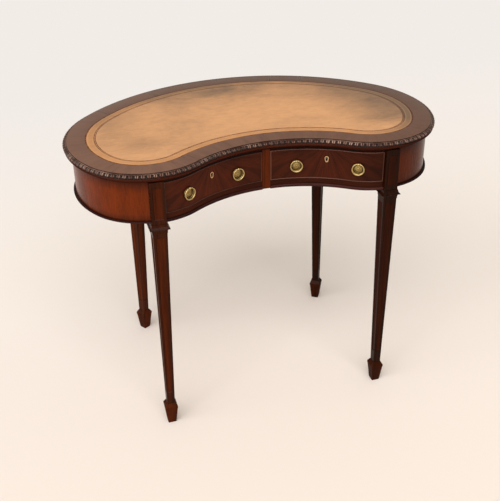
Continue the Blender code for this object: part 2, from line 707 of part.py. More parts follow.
def make_drawer_front(side, word, rig):
    """A curved front, rebated round its face for the cockbead."""
    rebate = BEAD_THICKNESS + GAP
    step = -BEAD_DEPTH - GAP
    levels = ((rebate, 0.0), (rebate, step), (0.0, step), (0.0, -FRONT_THICKNESS))
    loops = [front_loop(side, inset, out) for inset, out in levels]
    front = solid(f"drawer_front_{word}", loops, "drawer_wood", parent=rig, strips=True)

    groove = front_stations(DRAWER_INNER_X - OVERRUN, DRAWER_OUTER_X + OVERRUN)
    let_in = FRONT_BACK + FRONT_LET_IN
    cut(front, slab(
        f"bottom_groove_{word}", [side * x for x in groove], lambda x: front_y(let_in, x) - GAP,
        lambda x: front_y(FRONT_BACK, x) + OVERRUN, PANEL_BOTTOM - GAP, PANEL_TOP + GAP,
    ))

    recess = (LOCK_FRONT - GAP, FRONT_THICKNESS + OVERRUN)
    cut(front, lock_block(
        f"lock_recess_{word}", side, LOCK_WIDTH, recess, DRAWER_TOP - LOCK_HEIGHT - GAP, DRAWER_TOP + OVERRUN, GAP,
    ))
    keyhole = pear(KEYHOLE_HEAD, KEYHOLE_TAIL, KEYHOLE_DROP)
    cut(front, face_prism(f"keyhole_{word}", side * LOCK_X, keyhole, -OVERRUN, LOCK_FRONT + GAP))
    seat = pear(ESCUTCHEON_HEAD + GAP, ESCUTCHEON_TAIL + GAP, ESCUTCHEON_DROP)
    cut(front, face_prism(f"escutcheon_seat_{word}", side * LOCK_X, seat, -OVERRUN, ESCUTCHEON_THICKNESS + GAP))

    bore = SHANK_RADIUS + GAP
    for spot, x in (("inner", PULL_INNER_X), ("outer", PULL_OUTER_X)):
        hole = turned(side * x, PULL_Z, ((bore, -SHANK_LENGTH - GAP), (bore, OVERRUN)))
        cut(front, solid(f"shank_hole_{spot}_{word}", hole))


def make_cockbead(side, word, rig):
    """A thin bead with a round nose, let in round the edge of the drawer front."""
    section = (
        (0.0, BEAD_FLAT), (0.0, -BEAD_DEPTH), (BEAD_THICKNESS, -BEAD_DEPTH), (BEAD_THICKNESS, BEAD_FLAT),
        (BEAD_THICKNESS - BEAD_NOSE, BEAD_PROUD), (BEAD_NOSE, BEAD_PROUD),
    )
    loops = [front_loop(side, inset, out) for inset, out in section]
    solid(f"cockbead_{word}", list(zip(*loops)), "drawer_wood", closed=True, parent=rig)


def make_drawer_box(side, word, rig):
    groove_bottom = PANEL_BOTTOM - GAP
    groove_top = PANEL_TOP + GAP
    let_in = BOTTOM_LET_IN + GAP

    def front_end(x):
        return front_y(FRONT_BACK, x) + GAP

    def back_end(x):
        return DRAWER_BACK_Y

    for spot, outer, inner in (
        ("inner", INNER_SIDE_X, INNER_SIDE_X + SIDE_THICKNESS),
        ("outer", OUTER_SIDE_X, OUTER_SIDE_X - SIDE_THICKNESS),
    ):
        floor = inner + math.copysign(let_in, outer - inner)
        section = [
            (outer, DRAWER_BOTTOM), (inner, DRAWER_BOTTOM), (inner, groove_bottom), (floor, groove_bottom),
            (floor, groove_top), (inner, groove_top), (inner, SIDE_TOP), (outer, SIDE_TOP),
        ]
        ends = [[(side * x, end(x), z) for x, z in section] for end in (front_end, back_end)]
        solid(f"drawer_side_{spot}_{word}", ends, "inner_wood", parent=rig)

    first = INNER_SIDE_X + SIDE_THICKNESS
    last = OUTER_SIDE_X - SIDE_THICKNESS
    let_in_front = FRONT_BACK + FRONT_LET_IN
    panel = front_stations(first - BOTTOM_LET_IN, last + BOTTOM_LET_IN, GAP)
    slab(
        f"drawer_bottom_{word}", [side * x for x in panel], lambda x: front_y(let_in_front, x),
        back_end, PANEL_BOTTOM, PANEL_TOP, "inner_wood", parent=rig,
    )
    slab(
        f"drawer_back_{word}", (side * (first + GAP), side * (last - GAP)),
        level(DRAWER_BACK_Y - BACK_PANEL_THICKNESS), back_end, PANEL_TOP + GAP, SIDE_TOP,
        "inner_wood", parent=rig,
    )


def make_lock(side, word, rig):
    """A lock case let into the back of the drawer front, its bolt and its escutcheon."""
    case_top = DRAWER_TOP - GAP
    case = lock_block(
        f"lock_case_{word}", side, LOCK_WIDTH, (LOCK_FRONT, LOCK_BACK), DRAWER_TOP - LOCK_HEIGHT, case_top, 0.0,
        "steel", parent=rig,
    )
    bolt_bottom = case_top - BOLT_LENGTH
    cut(case, lock_block(
        f"bolt_slot_{word}", side, BOLT_WIDTH, bolt_depths(GAP), bolt_bottom - GAP, case_top + OVERRUN, GAP,
    ))
    keyhole = pear(KEYHOLE_HEAD, KEYHOLE_TAIL, KEYHOLE_DROP)
    cut(case, face_prism(f"key_way_{word}", side * LOCK_X, keyhole, -OVERRUN, bolt_depths(0.0)[0]))

    seat = Vector(on_face(side * LOCK_X, 0.0, bolt_bottom, sum(bolt_depths(0.0)) / 2))
    lock_block(
        f"lock_bolt_{word}", side, BOLT_WIDTH, bolt_depths(0.0), bolt_bottom, case_top, 0.0,
        "brass", parent=rig, origin=seat,
    )

    outer = pear(ESCUTCHEON_HEAD, ESCUTCHEON_TAIL, ESCUTCHEON_DROP)
    stations = []
    for rim, hole in zip(outer, keyhole):
        corners = ((rim, 0.0), (rim, ESCUTCHEON_THICKNESS), (hole, ESCUTCHEON_THICKNESS), (hole, 0.0))
        stations.append([on_face(side * LOCK_X, s, z, depth) for (s, z), depth in corners])
    solid(f"escutcheon_{word}", stations, "brass", closed=True, parent=rig)


def turned(x, height, rings):
    """Circles round the normal of the drawer face at x, from (radius, distance out of the face) pairs."""
    sections = []
    for radius, out in rings:
        circle = []
        for k in range(PLATE_STEPS):
            turn = FULL_TURN * k / PLATE_STEPS
            circle.append(on_face(x, radius * math.cos(turn), height + radius * math.sin(turn), -out))
        sections.append(circle)
    return sections


def plate_seat(x):
    """How far the back of a flat plate stands off the face that curves under it."""
    meeting = LOBE_CENTRE.x - (LOBE_RADIUS + FACE) * math.sin(WAIST_TURN)
    if abs(x) > meeting:
        return GAP
    hollow = WAIST_RADIUS - FACE
    return GAP + hollow - math.sqrt(hollow**2 - PLATE_RADIUS**2)


def make_pull(side, word, spot, x, rig):
    """A round plate with a boss and an eye at its top, and the ring that hangs in the eye."""
    place = side * x
    seat = plate_seat(place)
    rings = [(SHANK_RADIUS, -SHANK_LENGTH), (SHANK_RADIUS, seat), (PLATE_RADIUS, seat)]
    rings += [(PLATE_RADIUS * wide, seat + PLATE_RIM * out) for wide, out in PLATE_PROFILE_SHARES]
    rings += [(BOSS_RADIUS * wide, seat + BOSS_HEIGHT * out) for wide, out in BOSS_PROFILE_SHARES]
    plate = solid(
        f"pull_plate_{spot}_{word}", turned(place, PULL_Z, rings), "brass", parent=rig, smooth=True,
    )

    hinge_rise = math.sqrt(RING_RADIUS**2 - HINGE_HALF_LENGTH**2)
    hinge_out = seat + RING_STANDOFF
    eye = []
    for k in range(EYE_STEPS):
        turn = FULL_TURN * k / EYE_STEPS
        station = []
        for radius, along in ((EYE_BORE, -1), (EYE_RADIUS, -1), (EYE_RADIUS, 1), (EYE_BORE, 1)):
            height = PULL_Z + hinge_rise + radius * math.cos(turn)
            out = hinge_out + radius * math.sin(turn)
            station.append(on_face(place, along * EYE_WIDTH / 2, height, -out))
        eye.append(station)
    cut(plate, solid(f"eye_{spot}_{word}", eye, closed=True), "UNION")
    half = PILLAR_WIDTH / 2
    middle = PULL_Z + hinge_rise
    foot = [(-half, middle - half), (half, middle - half), (half, middle + half), (-half, middle + half)]
    wall_middle = hinge_out - (EYE_RADIUS + EYE_BORE) / 2
    pillar = face_prism(f"eye_pillar_{spot}_{word}", place, foot, -wall_middle, -seat - PLATE_EDGE / 2)
    cut(plate, pillar, "UNION")

    gap_turn = math.asin(HINGE_HALF_LENGTH / RING_RADIUS)
    hinge = Vector(on_face(place, 0.0, PULL_Z + hinge_rise, -hinge_out))
    stations = []
    for turn in spread(gap_turn, FULL_TURN - gap_turn, RING_STEPS):
        station = []
        for k in range(RING_SIDES):
            around = FULL_TURN * (k + 0.5) / RING_SIDES
            radius = RING_RADIUS + RING_WIRE * math.cos(around)
            along = radius * math.sin(turn)
            rise = radius * math.cos(turn)
            if turn in (gap_turn, FULL_TURN - gap_turn):
                along = RING_RADIUS * math.sin(turn)
                rise = hinge_rise + RING_WIRE * math.cos(around)
            station.append(on_face(place, along, PULL_Z + rise, -hinge_out - RING_WIRE * math.sin(around)))
        stations.append(station)
    solid(f"pull_ring_{spot}_{word}", stations, "brass", closed=True, parent=rig, origin=hinge, smooth=True)


def make_drawers():
    for side, word in ((-1, "left"), (1, "right")):
        middle = side * (DRAWER_INNER_X + DRAWER_OUTER_X) / 2
        rig = carrier(f"drawer_{word}_slide", Vector((middle, front_y(FACE, middle), DRAWER_BOTTOM)))
        make_drawer_front(side, word, rig)
        make_cockbead(side, word, rig)
        make_drawer_box(side, word, rig)
        make_lock(side, word, rig)
        for spot, x in (("inner", PULL_INNER_X), ("outer", PULL_OUTER_X)):
            make_pull(side, word, spot, x, rig)


def main():
    clear_scene()
    make_top()
    make_friezes()
    make_rails()
    make_divider()
    make_legs()
    make_runners()
    make_drawers()


main()
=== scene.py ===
"""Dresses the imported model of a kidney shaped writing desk.

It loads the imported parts, makes the veneers, leather, carving and brass that show around them, and sets
the desk in a plain pale studio. Metres, +Z up, drawers towards -Y. Run it with Blender 4.5.
"""

import json
import math

import bmesh
import bpy
from bpy.props import FloatProperty, FloatVectorProperty, IntProperty, PointerProperty
from mathutils import Matrix, Vector

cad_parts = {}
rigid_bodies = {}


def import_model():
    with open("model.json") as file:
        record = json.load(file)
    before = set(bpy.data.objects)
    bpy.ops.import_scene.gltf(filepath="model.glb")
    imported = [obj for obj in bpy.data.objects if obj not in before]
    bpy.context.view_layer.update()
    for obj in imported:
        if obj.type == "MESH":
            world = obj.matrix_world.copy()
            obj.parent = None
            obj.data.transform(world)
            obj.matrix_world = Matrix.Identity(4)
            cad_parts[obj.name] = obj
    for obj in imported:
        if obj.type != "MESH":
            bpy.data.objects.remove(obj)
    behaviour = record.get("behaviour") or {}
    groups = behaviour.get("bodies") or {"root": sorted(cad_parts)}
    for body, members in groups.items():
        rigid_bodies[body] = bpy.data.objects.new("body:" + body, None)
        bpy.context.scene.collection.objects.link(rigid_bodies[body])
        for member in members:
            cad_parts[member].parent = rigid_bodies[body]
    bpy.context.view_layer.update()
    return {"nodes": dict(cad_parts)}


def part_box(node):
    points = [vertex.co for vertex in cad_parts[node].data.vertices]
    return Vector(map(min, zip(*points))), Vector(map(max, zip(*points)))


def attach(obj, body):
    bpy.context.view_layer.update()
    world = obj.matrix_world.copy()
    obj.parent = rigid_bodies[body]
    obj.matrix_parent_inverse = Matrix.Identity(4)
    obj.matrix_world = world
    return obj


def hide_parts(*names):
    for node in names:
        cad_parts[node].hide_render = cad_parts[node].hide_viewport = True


bl_info = {
    "name": "Kidney Shaped Desk",
    "version": (1, 0, 0),
    "blender": (4, 5, 0),
    "location": "View3D > Sidebar > Desk",
    "description": "Veneers, leather, carving, brass and a studio for a kidney shaped writing desk",
    "category": "Object",
}

for leftover in list(bpy.data.objects):
    bpy.data.objects.remove(leftover, do_unlink=True)
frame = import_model()

SIDES = ((-1, "left"), (1, "right"))
MM = 0.001
GAP = 0.3 * MM
QUARTER, HALF, WHOLE = (math.radians(degrees) for degrees in (90.0, 180.0, 360.0))
UP = Vector((0.0, 0.0, 1.0))

# Plan of the flat top: arcs that meet smoothly, from the back round each end to the waist
BACK_RADIUS = 0.5477
BACK_TURN = math.radians(48.7)
END_RADIUS = 0.2698
END_TURN = math.radians(121.65)
LOBE_RADIUS = 0.170
WAIST_RADIUS = 0.327
BACK_STEPS, END_STEPS, LOBE_STEPS, WAIST_STEPS = 90, 78, 66, 46
FRONT_STEPS = 108


def heights(packed_node):
    """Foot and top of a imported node."""
    low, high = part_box(packed_node)
    return low.z, high.z


BAND_FOOT, TOP = heights("top_crossbanding")
LEATHER_FOOT, LEATHER_TOP = heights("leather_writing_surface")
CARVED_FOOT, CARVED_TOP = heights("carved_edge_moulding")
UNDER_FOOT, UNDER_TOP = heights("top_under_moulding")
FRIEZE_FOOT, FRAME_TOP = heights("back_frieze")
BASE_FOOT, BASE_TOP = heights("back_base_moulding")
FRONT_BASE_FOOT = heights("front_base_moulding")[0]
RAIL_TOP = heights("drawer_bottom_rail")[1]
UPPER_RAIL_FOOT = heights("drawer_top_rail")[0]
DRAWER_FOOT, DRAWER_TOP = heights("drawer_front_right")
COLLAR_FOOT, COLLAR_TOP = heights("leg_collar_front_right")
SPADE_TOP = heights("spade_foot_front_right")[1]

# Distances out from the edge of the flat top
BAND_WIDTH = 47.5 * MM
BOARD_EDGE = GAP - 8.0 * MM
FACE = -11.3 * MM
FRIEZE_BACK = -29.3 * MM
RAIL_BACK = -41.3 * MM
CARVED_PROUD = 8.5 * MM
UNDER_PROUD = 5.8 * MM
BASE_PROUD = 6.2 * MM
FRONT_BASE_PROUD = 4.5 * MM

# Front and legs
POST_HALF = 18.0 * MM
FRONT_POST_PROUD = 10.0 * MM
REAR_POST_PROUD = 8.0 * MM
FRONT_LEG_X = 0.2986
FRONT_LEG_LEAN = (4.1 * MM, 2.4 * MM)
REAR_LEG_TURN = math.radians(32.7)
REAR_LEG_LEAN = (7.1 * MM, 0.7 * MM)
DIVIDER_EDGE = 10.25 * MM
DRAWER_GAP = 0.7 * MM
FRONT_THICKNESS = 18.0 * MM
BEAD_THICKNESS = 3.0 * MM
BEAD_PROUD = 1.5 * MM
BEAD_DEPTH = 8.5 * MM

# Locks and pulls
LOCK_X = 0.1493
LOCK_WIDTH, LOCK_HEIGHT = 44.0 * MM, 35.0 * MM
LOCK_DEPTHS = (10.0 * MM, 17.2 * MM)
BOLT_WIDTH, BOLT_THICKNESS = 12.4 * MM, 3.8 * MM
BOLT_THROW = 5.0 * MM
KEYHOLE_DOWN = 24.8 * MM
PULL_PLACES = (("inner", 0.0775), ("outer", 0.2182))
PULL_RISE_SHARE = 0.442
PLATE_RADIUS = 15.5 * MM
RING_RADIUS = 14.8 * MM
RING_WIRE = 1.9 * MM
RING_STANDOFF = 5.5 * MM
HINGE_HALF = 3.5 * MM


def screen(red, green, blue):
    """A colour picked on a screen, 0 to 255, as the linear values that Blender's sockets take."""
    shares = [channel / 255.0 for channel in (red, green, blue)]
    return tuple(s / 12.92 if s <= 0.04045 else ((s + 0.055) / 1.055) ** 2.4 for s in shares)


def colour_property(name, description, default):
    return FloatVectorProperty(
        name=name, description=description, subtype="COLOR", size=3, min=0.0, max=1.0, default=default
    )


def length_property(name, description, default):
    return FloatProperty(name=name, description=description, unit="LENGTH", min=0.0, default=default)


def strength_property(name, description, default):
    return FloatProperty(name=name, description=description, min=0.0, default=default)


class DeskTopSettings(bpy.types.PropertyGroup):
    """Leather, border and carved edge of the top."""

    leaf_count: IntProperty(name="Leaves", description="Carved leaves round the edge", min=60, max=400, default=184)
    leaf_depth: length_property("Leaf depth", "How deep the ground is cut between the carved leaves", 2.4 * MM)
    tooled_border: length_property("Tooled border", "Width of the gilt border inside the leather's edge", 22.5 * MM)
    leather_light: colour_property("Leather, light", "Unworn colour in the middle", screen(217, 163, 117))
    leather_dark: colour_property("Leather, handled", "Colour where it is rubbed and stained", screen(122, 98, 78))
    gilt: colour_property("Gilt", "Colour of the tooled border", screen(198, 136, 84))
    tooling: colour_property("Tooled lines", "Colour of the dark tooled lines", screen(84, 36, 20))
    band_dark: colour_property("Crossbanding, dark", "Dark streaks of the border", screen(90, 65, 54))
    band_light: colour_property("Crossbanding, light", "Light streaks of the border", screen(126, 93, 76))
    carving_high: colour_property("Carving, rubbed", "Rubbed high parts", screen(68, 33, 18))
    carving_deep: colour_property("Carving, ground", "Dirt and stain in the cuts", screen(14, 6, 4))


class DeskWoodSettings(bpy.types.PropertyGroup):
    """Colours of the woods under the top."""

    frieze_dark: colour_property("Frieze, dark", "Dark streaks of the frieze veneer", screen(68, 22, 1))
    frieze_light: colour_property("Frieze, light", "Light streaks of the frieze veneer", screen(108, 39, 0))
    flame_dark: colour_property("Drawer, dark", "Dark parts of the drawer veneer", screen(48, 20, 10))
    flame_light: colour_property("Drawer, flame", "Bright plumes of the drawer veneer", screen(80, 33, 17))
    rail_dark: colour_property("Rail, dark", "Dark streaks of rails and mouldings", screen(26, 9, 4))
    rail_light: colour_property("Rail, light", "Light streaks of the rails", screen(76, 30, 13))
    leg_dark: colour_property("Leg, dark", "Dark streaks of the legs", screen(28, 9, 2))
    leg_light: colour_property("Leg, light", "Light streaks of the legs", screen(64, 24, 5))
    lining_dark: colour_property("Lining, dark", "Dark streaks of the plain wood inside", screen(142, 102, 66))
    lining_light: colour_property("Lining, light", "Light streaks of the plain wood inside", screen(192, 150, 104))


class DeskBrassSettings(bpy.types.PropertyGroup):
    """Ring pulls and keyhole linings."""

    petal_count: IntProperty(name="Petals", description="Petals of each rosette", min=5, max=24, default=12)
    wire: length_property("Ring wire", "Radius of the wire of each ring", RING_WIRE)
    bright: colour_property("Brass, bright", "Rubbed brass of the rings and knobs", (0.46, 0.34, 0.15))
    aged: colour_property("Brass, aged", "Brass of the rosettes", (0.32, 0.225, 0.08))
    tarnish: colour_property("Brass, tarnished", "Dirt and tarnish in the grooves", (0.10, 0.065, 0.025))
    lining: colour_property("Keyhole lining", "Pale brass round the keyholes", (0.56, 0.36, 0.20))


class DeskStudioSettings(bpy.types.PropertyGroup):
    """Lamps, floor and the light of the room."""

    window: strength_property("Window light", "Strength of the soft light from the front left", 2.3)
    side: strength_property("Side light", "Strength of the weaker light from the left", 1.5)
    room: strength_property("Room light", "Strength of the light from all round", 0.40)
    seen_room: strength_property("Room, seen", "Strength of the room as the eye and polish see it", 0.88)
    floor: colour_property("Floor", "Colour of the floor", screen(250, 238, 228))
    backdrop: colour_property("Backdrop", "Colour that the floor turns to behind the desk", screen(242, 236, 231))


# Shapes in plan


def heading(turn):
    """Unit vector in plan, turned from +Y towards +X."""
    return Vector((math.sin(turn), math.cos(turn)))


def plan_centres():
    """Centres of the four pairs of arcs, and the turn at which lobe and waist meet."""
    to_end = (BACK_RADIUS - END_RADIUS) * heading(BACK_TURN)
    to_lobe = (END_RADIUS - LOBE_RADIUS) * heading(END_TURN)
    back = Vector((0.0, -(BACK_RADIUS - LOBE_RADIUS + to_end.y + to_lobe.y) / 2))
    end = back + to_end
    lobe = end + to_lobe
    reach = LOBE_RADIUS + WAIST_RADIUS
    waist_turn = math.asin(lobe.x / reach)
    return back, end, lobe, lobe + reach * heading(HALF + waist_turn), waist_turn


BACK_CENTRE, END_CENTRE, LOBE_CENTRE, WAIST_CENTRE, WAIST_TURN = plan_centres()


def arc(centre, radius, start, end, steps):
    """Points along an arc, without its last one."""
    return [centre + radius * heading(start + (end - start) * k / steps) for k in range(steps)]


def kidney(offset):
    """The outline of the top grown by an offset, clockwise from the middle of the back."""
    half = arc(BACK_CENTRE, BACK_RADIUS + offset, 0.0, BACK_TURN, BACK_STEPS)
    half += arc(END_CENTRE, END_RADIUS + offset, BACK_TURN, END_TURN, END_STEPS)
    half += arc(LOBE_CENTRE, LOBE_RADIUS + offset, END_TURN, HALF + WAIST_TURN, LOBE_STEPS)
    half += arc(WAIST_CENTRE, WAIST_RADIUS - offset, WAIST_TURN, 0.0, WAIST_STEPS)
    waist = WAIST_CENTRE + (WAIST_RADIUS - offset) * heading(0.0)
    return half + [waist] + [Vector((-point.x, point.y)) for point in reversed(half[1:])]


def in_waist(offset, x):
    """Whether x lies on the hollow of the front, not on a lobe."""
    return abs(x) <= LOBE_CENTRE.x - (LOBE_RADIUS + offset) * math.sin(WAIST_TURN)


def curve_y(offset, x):
    """How far back the front curve lies at x."""
    if in_waist(offset, x):
        return WAIST_CENTRE.y + math.sqrt((WAIST_RADIUS - offset) ** 2 - x**2)
    return LOBE_CENTRE.y - math.sqrt((LOBE_RADIUS + offset) ** 2 - (abs(x) - LOBE_CENTRE.x) ** 2)


def face_normal(x):
    """Unit vector that points out of the drawer front at x."""
    point = Vector((abs(x), curve_y(FACE, x)))
    normal = WAIST_CENTRE - point if in_waist(FACE, x) else point - LOBE_CENTRE
    normal.normalize()
    return Vector((math.copysign(normal.x, normal.x * x), normal.y))


def spread(start, end, steps):
    """Evenly spaced values, both ends included."""
    return [start + (end - start) * k / steps for k in range(steps + 1)]


def back_run(offset):
    """Along the back between the rear posts."""
    radius = BACK_RADIUS + offset
    reach = REAR_LEG_TURN - math.asin((POST_HALF + GAP) / radius)
    return [BACK_CENTRE + radius * heading(turn) for turn in spread(-reach, reach, 2 * BACK_STEPS)]


def end_run(side):
    """From a rear post round the end to the front post."""

    def run(offset):
        start = REAR_LEG_TURN + math.asin((POST_HALF + GAP) / (BACK_RADIUS + offset))
        end = HALF - math.asin((FRONT_LEG_X + POST_HALF + GAP - LOBE_CENTRE.x) / (LOBE_RADIUS + offset))
        line = arc(BACK_CENTRE, BACK_RADIUS + offset, start, BACK_TURN, BACK_STEPS // 3)
        line += arc(END_CENTRE, END_RADIUS + offset, BACK_TURN, END_TURN, END_STEPS)
        line += arc(LOBE_CENTRE, LOBE_RADIUS + offset, END_TURN, end, LOBE_STEPS // 2)
        line.append(LOBE_CENTRE + (LOBE_RADIUS + offset) * heading(end))
        return [Vector((side * point.x, point.y)) for point in line]

    return run


def front_line(side, gap, offset):
    """Along half of the front, a gap away from divider and post."""
    xs = spread(DIVIDER_EDGE + gap, FRONT_LEG_X - POST_HALF - gap, FRONT_STEPS)
    return [Vector((side * x, curve_y(offset, x))) for x in xs]


def leg_places():
    """Name, post centre, foot centre and turn of each leg."""
    front = Vector((FRONT_LEG_X, curve_y(FACE, FRONT_LEG_X) - FRONT_POST_PROUD + POST_HALF))
    rear = BACK_CENTRE + (BACK_RADIUS + FACE + REAR_POST_PROUD - POST_HALF) * heading(REAR_LEG_TURN)
    for side, hand in SIDES:
        for name, place, lean, turn in (
            ("front", front, FRONT_LEG_LEAN, HALF), ("rear", rear, REAR_LEG_LEAN, REAR_LEG_TURN),
        ):
            post = Vector((side * place.x, place.y))
            foot = Vector((side * (place.x + lean[0]), place.y + lean[1]))
            yield f"{name}_{hand}", post, foot, side * turn


# Mesh helpers

# Edges that turn by more than this many degrees stay crisp
CRISP_DEGREES = 35.0


def add_object(name, data):
    obj = bpy.data.objects.new(name, data)
    bpy.context.scene.collection.objects.link(obj)
    return obj


def face_outwards(mesh, smooth):
    """Turns the faces outwards, and keeps edges sharper than smooth degrees crisp."""
    shape = bmesh.new()
    shape.from_mesh(mesh)
    bmesh.ops.recalc_face_normals(shape, faces=shape.faces)
    shape.to_mesh(mesh)
    shape.free()
    mesh.shade_smooth()
    mesh.set_sharp_from_angle(angle=math.radians(smooth))


def distances(points):
    """How far along a row each point lies, from 0."""
    found = [0.0]
    for before, after in zip(points, points[1:]):
        found.append(found[-1] + (Vector(after) - Vector(before)).length)
    return found


def walls(rows, count, ring=False):
    """Corners, as (row, column), of the faces between neighbouring loops of count points."""
    return [
        ((row, column), (row, column + 1), (row + 1, column + 1), (row + 1, column))
        for row in range(rows if ring else rows - 1) for column in range(count)
    ]


def skin(name, rows, materials, ring=False, strips=False, grain=None, slot_of=None, smooth=CRISP_DEGREES):
    """A closed skin over rows of points, each row a loop; the first and last are capped unless it is a ring.

    The grain map holds metres: along the rows, and round the loop from its first point. grain gives the map
    from row and column instead. slot_of gives the material of the strip that starts at a loop point.
    """
    count = len(rows[0])
    along = distances([row[0] for row in rows] + [rows[0][0]])
    around = distances(rows[0] + [rows[0][0]])
    faces = walls(len(rows), count, ring)
    slots = [slot_of(*face[0]) if slot_of else 0 for face in faces]
    for row in () if ring else (0, len(rows) - 1):
        if strips:
            last = count - 1
            faces += [((row, k), (row, k + 1), (row, last - k - 1), (row, last - k)) for k in range(count // 2 - 1)]
        else:
            faces.append([(row, column) for column in range(count)])
    slots += [0] * (len(faces) - len(slots))

    mesh = bpy.data.meshes.new(name)
    points = [tuple(point) for row in rows for point in row]
    mesh.from_pydata(points, [], [[r % len(rows) * count + c % count for r, c in face] for face in faces])
    corners = [corner for face in faces for corner in face]
    uvs = [grain(r, c) if grain else (along[r], around[c]) for r, c in corners]
    mesh.uv_layers.new(name="grain").data.foreach_set("uv", [value for uv in uvs for value in uv])
    for material in materials:
        mesh.materials.append(material)
    mesh.polygons.foreach_set("material_index", slots)
    face_outwards(mesh, smooth)
    return add_object(name, mesh)


def sweep(name, run, section, material, ring=False):
    """A section of (offset, height) points carried along a run."""
    lines = {offset: run(offset) for offset, _ in section}
    count = len(next(iter(lines.values())))
    rows = [[(*lines[offset][k], height) for offset, height in section] for k in range(count)]
    return skin(name, rows, [material], ring)


def drop(obj):
    """Removes an object and the mesh that only it used."""
    mesh = obj.data
    bpy.data.objects.remove(obj, do_unlink=True)
    if mesh.users == 0 and isinstance(mesh, bpy.types.Mesh):
        bpy.data.meshes.remove(mesh)


def join(name, pieces):
    """Several objects as one mesh, with the materials of the first."""
    shape = bmesh.new()
    for piece in pieces:
        shape.from_mesh(piece.data)
    mesh = pieces[0].data.copy()
    shape.to_mesh(mesh)
    shape.free()
    for piece in pieces:
        drop(piece)
    mesh.name = name
    return add_object(name, mesh)


def settled(obj):
    """The object with its modifiers made part of its mesh."""
    bpy.context.view_layer.update()
    mesh = bpy.data.meshes.new_from_object(obj.evaluated_get(bpy.context.evaluated_depsgraph_get()))
    if obj.type == "MESH":
        obj.modifiers.clear()
        obj.data = mesh
        return obj
    name = obj.name
    bpy.data.objects.remove(obj, do_unlink=True)
    mesh.name = name
    return add_object(name, mesh)


def carve(obj, cutters):
    """Takes closed cutters out of a mesh, and keeps the cut edges crisp."""
    for cutter in cutters:
        modifier = obj.modifiers.new(cutter.name, "BOOLEAN")
        modifier.operation = "DIFFERENCE"
        modifier.solver = "EXACT"
        modifier.object = cutter
    settled(obj)
    obj.data.set_sharp_from_angle(angle=math.radians(CRISP_DEGREES))
    for cutter in cutters:
        drop(cutter)


def soften(obj, width):
    """Rubbed edges: a small bevel where faces meet at an angle."""
    modifier = obj.modifiers.new("rubbed edges", "BEVEL")
    modifier.width = width
    modifier.segments = 2
    modifier.limit_method = "ANGLE"
    modifier.angle_limit = math.radians(25.0)
    modifier.harden_normals = True
    return settled(obj)


def fit(obj, body, slot, *nodes):
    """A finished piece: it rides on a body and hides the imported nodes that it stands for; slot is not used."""
    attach(obj, body)
    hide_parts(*nodes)


def smooth_line(points, steps):
    """A smooth line through a few (x, y) points."""
    line = []
    ends = [points[0], *points, points[-1]]
    for near in zip(ends, ends[1:], ends[2:], ends[3:]):
        for t in spread(0.0, 1.0, steps)[:-1]:
            weights = (
                (-t + 2 * t * t - t**3) / 2, (2 - 5 * t * t + 3 * t**3) / 2,
                (t + 4 * t * t - 3 * t**3) / 2, (t**3 - t * t) / 2,
            )
            line.append(tuple(sum(w * point[axis] for w, point in zip(weights, near)) for axis in (0, 1)))
    return line + [tuple(points[-1])]


def moulded(shares, proud, top, foot, base=0.0, steps=4):
    """A moulding's face as (offset, height) points, from shares of how far it stands out and drops."""
    return [(base + out * proud, top - down * (top - foot)) for out, down in smooth_line(shares, steps)]


# Node helpers


def read(tree, kind, output, inputs=None, **settings):
    """A new node's output, or a list of several, with its inputs set to values or linked."""
    made = tree.nodes.new(kind)
    for key, value in settings.items():
        setattr(made, key, value)
    for key, value in (inputs or {}).items():
        if isinstance(value, Value):
            tree.links.new(value.socket, made.inputs[key])
        else:
            made.inputs[key].default_value = value
    if isinstance(output, (tuple, list)):
        return [Value(tree, made.outputs[key]) for key in output]
    return Value(tree, made.outputs[output])


def maths(tree, operation, *values):
    return read(tree, "ShaderNodeMath", 0, dict(enumerate(values)), operation=operation)


def vector_maths(tree, operation, *values, output="Vector", **named):
    return read(tree, "ShaderNodeVectorMath", output, {**dict(enumerate(values)), **named}, operation=operation)


class Value:
    """A node's output, written in sums: each one adds the node that works it out."""

    def __init__(self, tree, socket):
        self.tree, self.socket = tree, socket

    def __add__(self, other):
        return maths(self.tree, "ADD", self, other)

    def __sub__(self, other):
        return maths(self.tree, "SUBTRACT", self, other)

    def __rsub__(self, other):
        return maths(self.tree, "SUBTRACT", other, self)

    def __mul__(self, other):
        return maths(self.tree, "MULTIPLY", self, other)

    def __truediv__(self, other):
        return maths(self.tree, "DIVIDE", self, other)

    def maths(self, operation, *others):
        return maths(self.tree, operation, self, *others)

    def remap(self, from_low, from_high, to_low=0.0, to_high=1.0):
        return read(self.tree, "ShaderNodeMapRange", "Result", {
            "Value": self, "From Min": from_low, "From Max": from_high, "To Min": to_low, "To Max": to_high,
        })

    def mix(self, first, second):
        """Two colours mixed by this share."""
        first, second = (side if isinstance(side, Value) else (*side, 1.0) for side in (first, second))
        inputs = {0: self, 6: first, 7: second}
        return read(self.tree, "ShaderNodeMix", 2, inputs, data_type="RGBA", clamp_factor=True)

    def scaled(self, share):
        """This colour made lighter or darker."""
        return vector_maths(self.tree, "SCALE", self, Scale=share)

    def parts(self):
        """The three parts of this vector."""
        return read(self.tree, "ShaderNodeSeparateXYZ", tuple("XYZ"), {"Vector": self})

    def mapped(self, stretch, offset):
        """This vector stretched and then moved."""
        inputs = {"Vector": self, "Location": offset, "Scale": stretch}
        return read(self.tree, "ShaderNodeMapping", "Vector", inputs)

    def noise(self, stretch, detail=2.0, roughness=0.5, distortion=0.0, offset=(0.0, 0.0, 0.0)):
        """Noise that varies stretch times a metre along each axis of this vector."""
        return read(self.tree, "ShaderNodeTexNoise", "Fac", {
            "Vector": self.mapped(stretch, offset), "Scale": 1.0, "Detail": detail, "Roughness": roughness,
            "Distortion": distortion,
        })


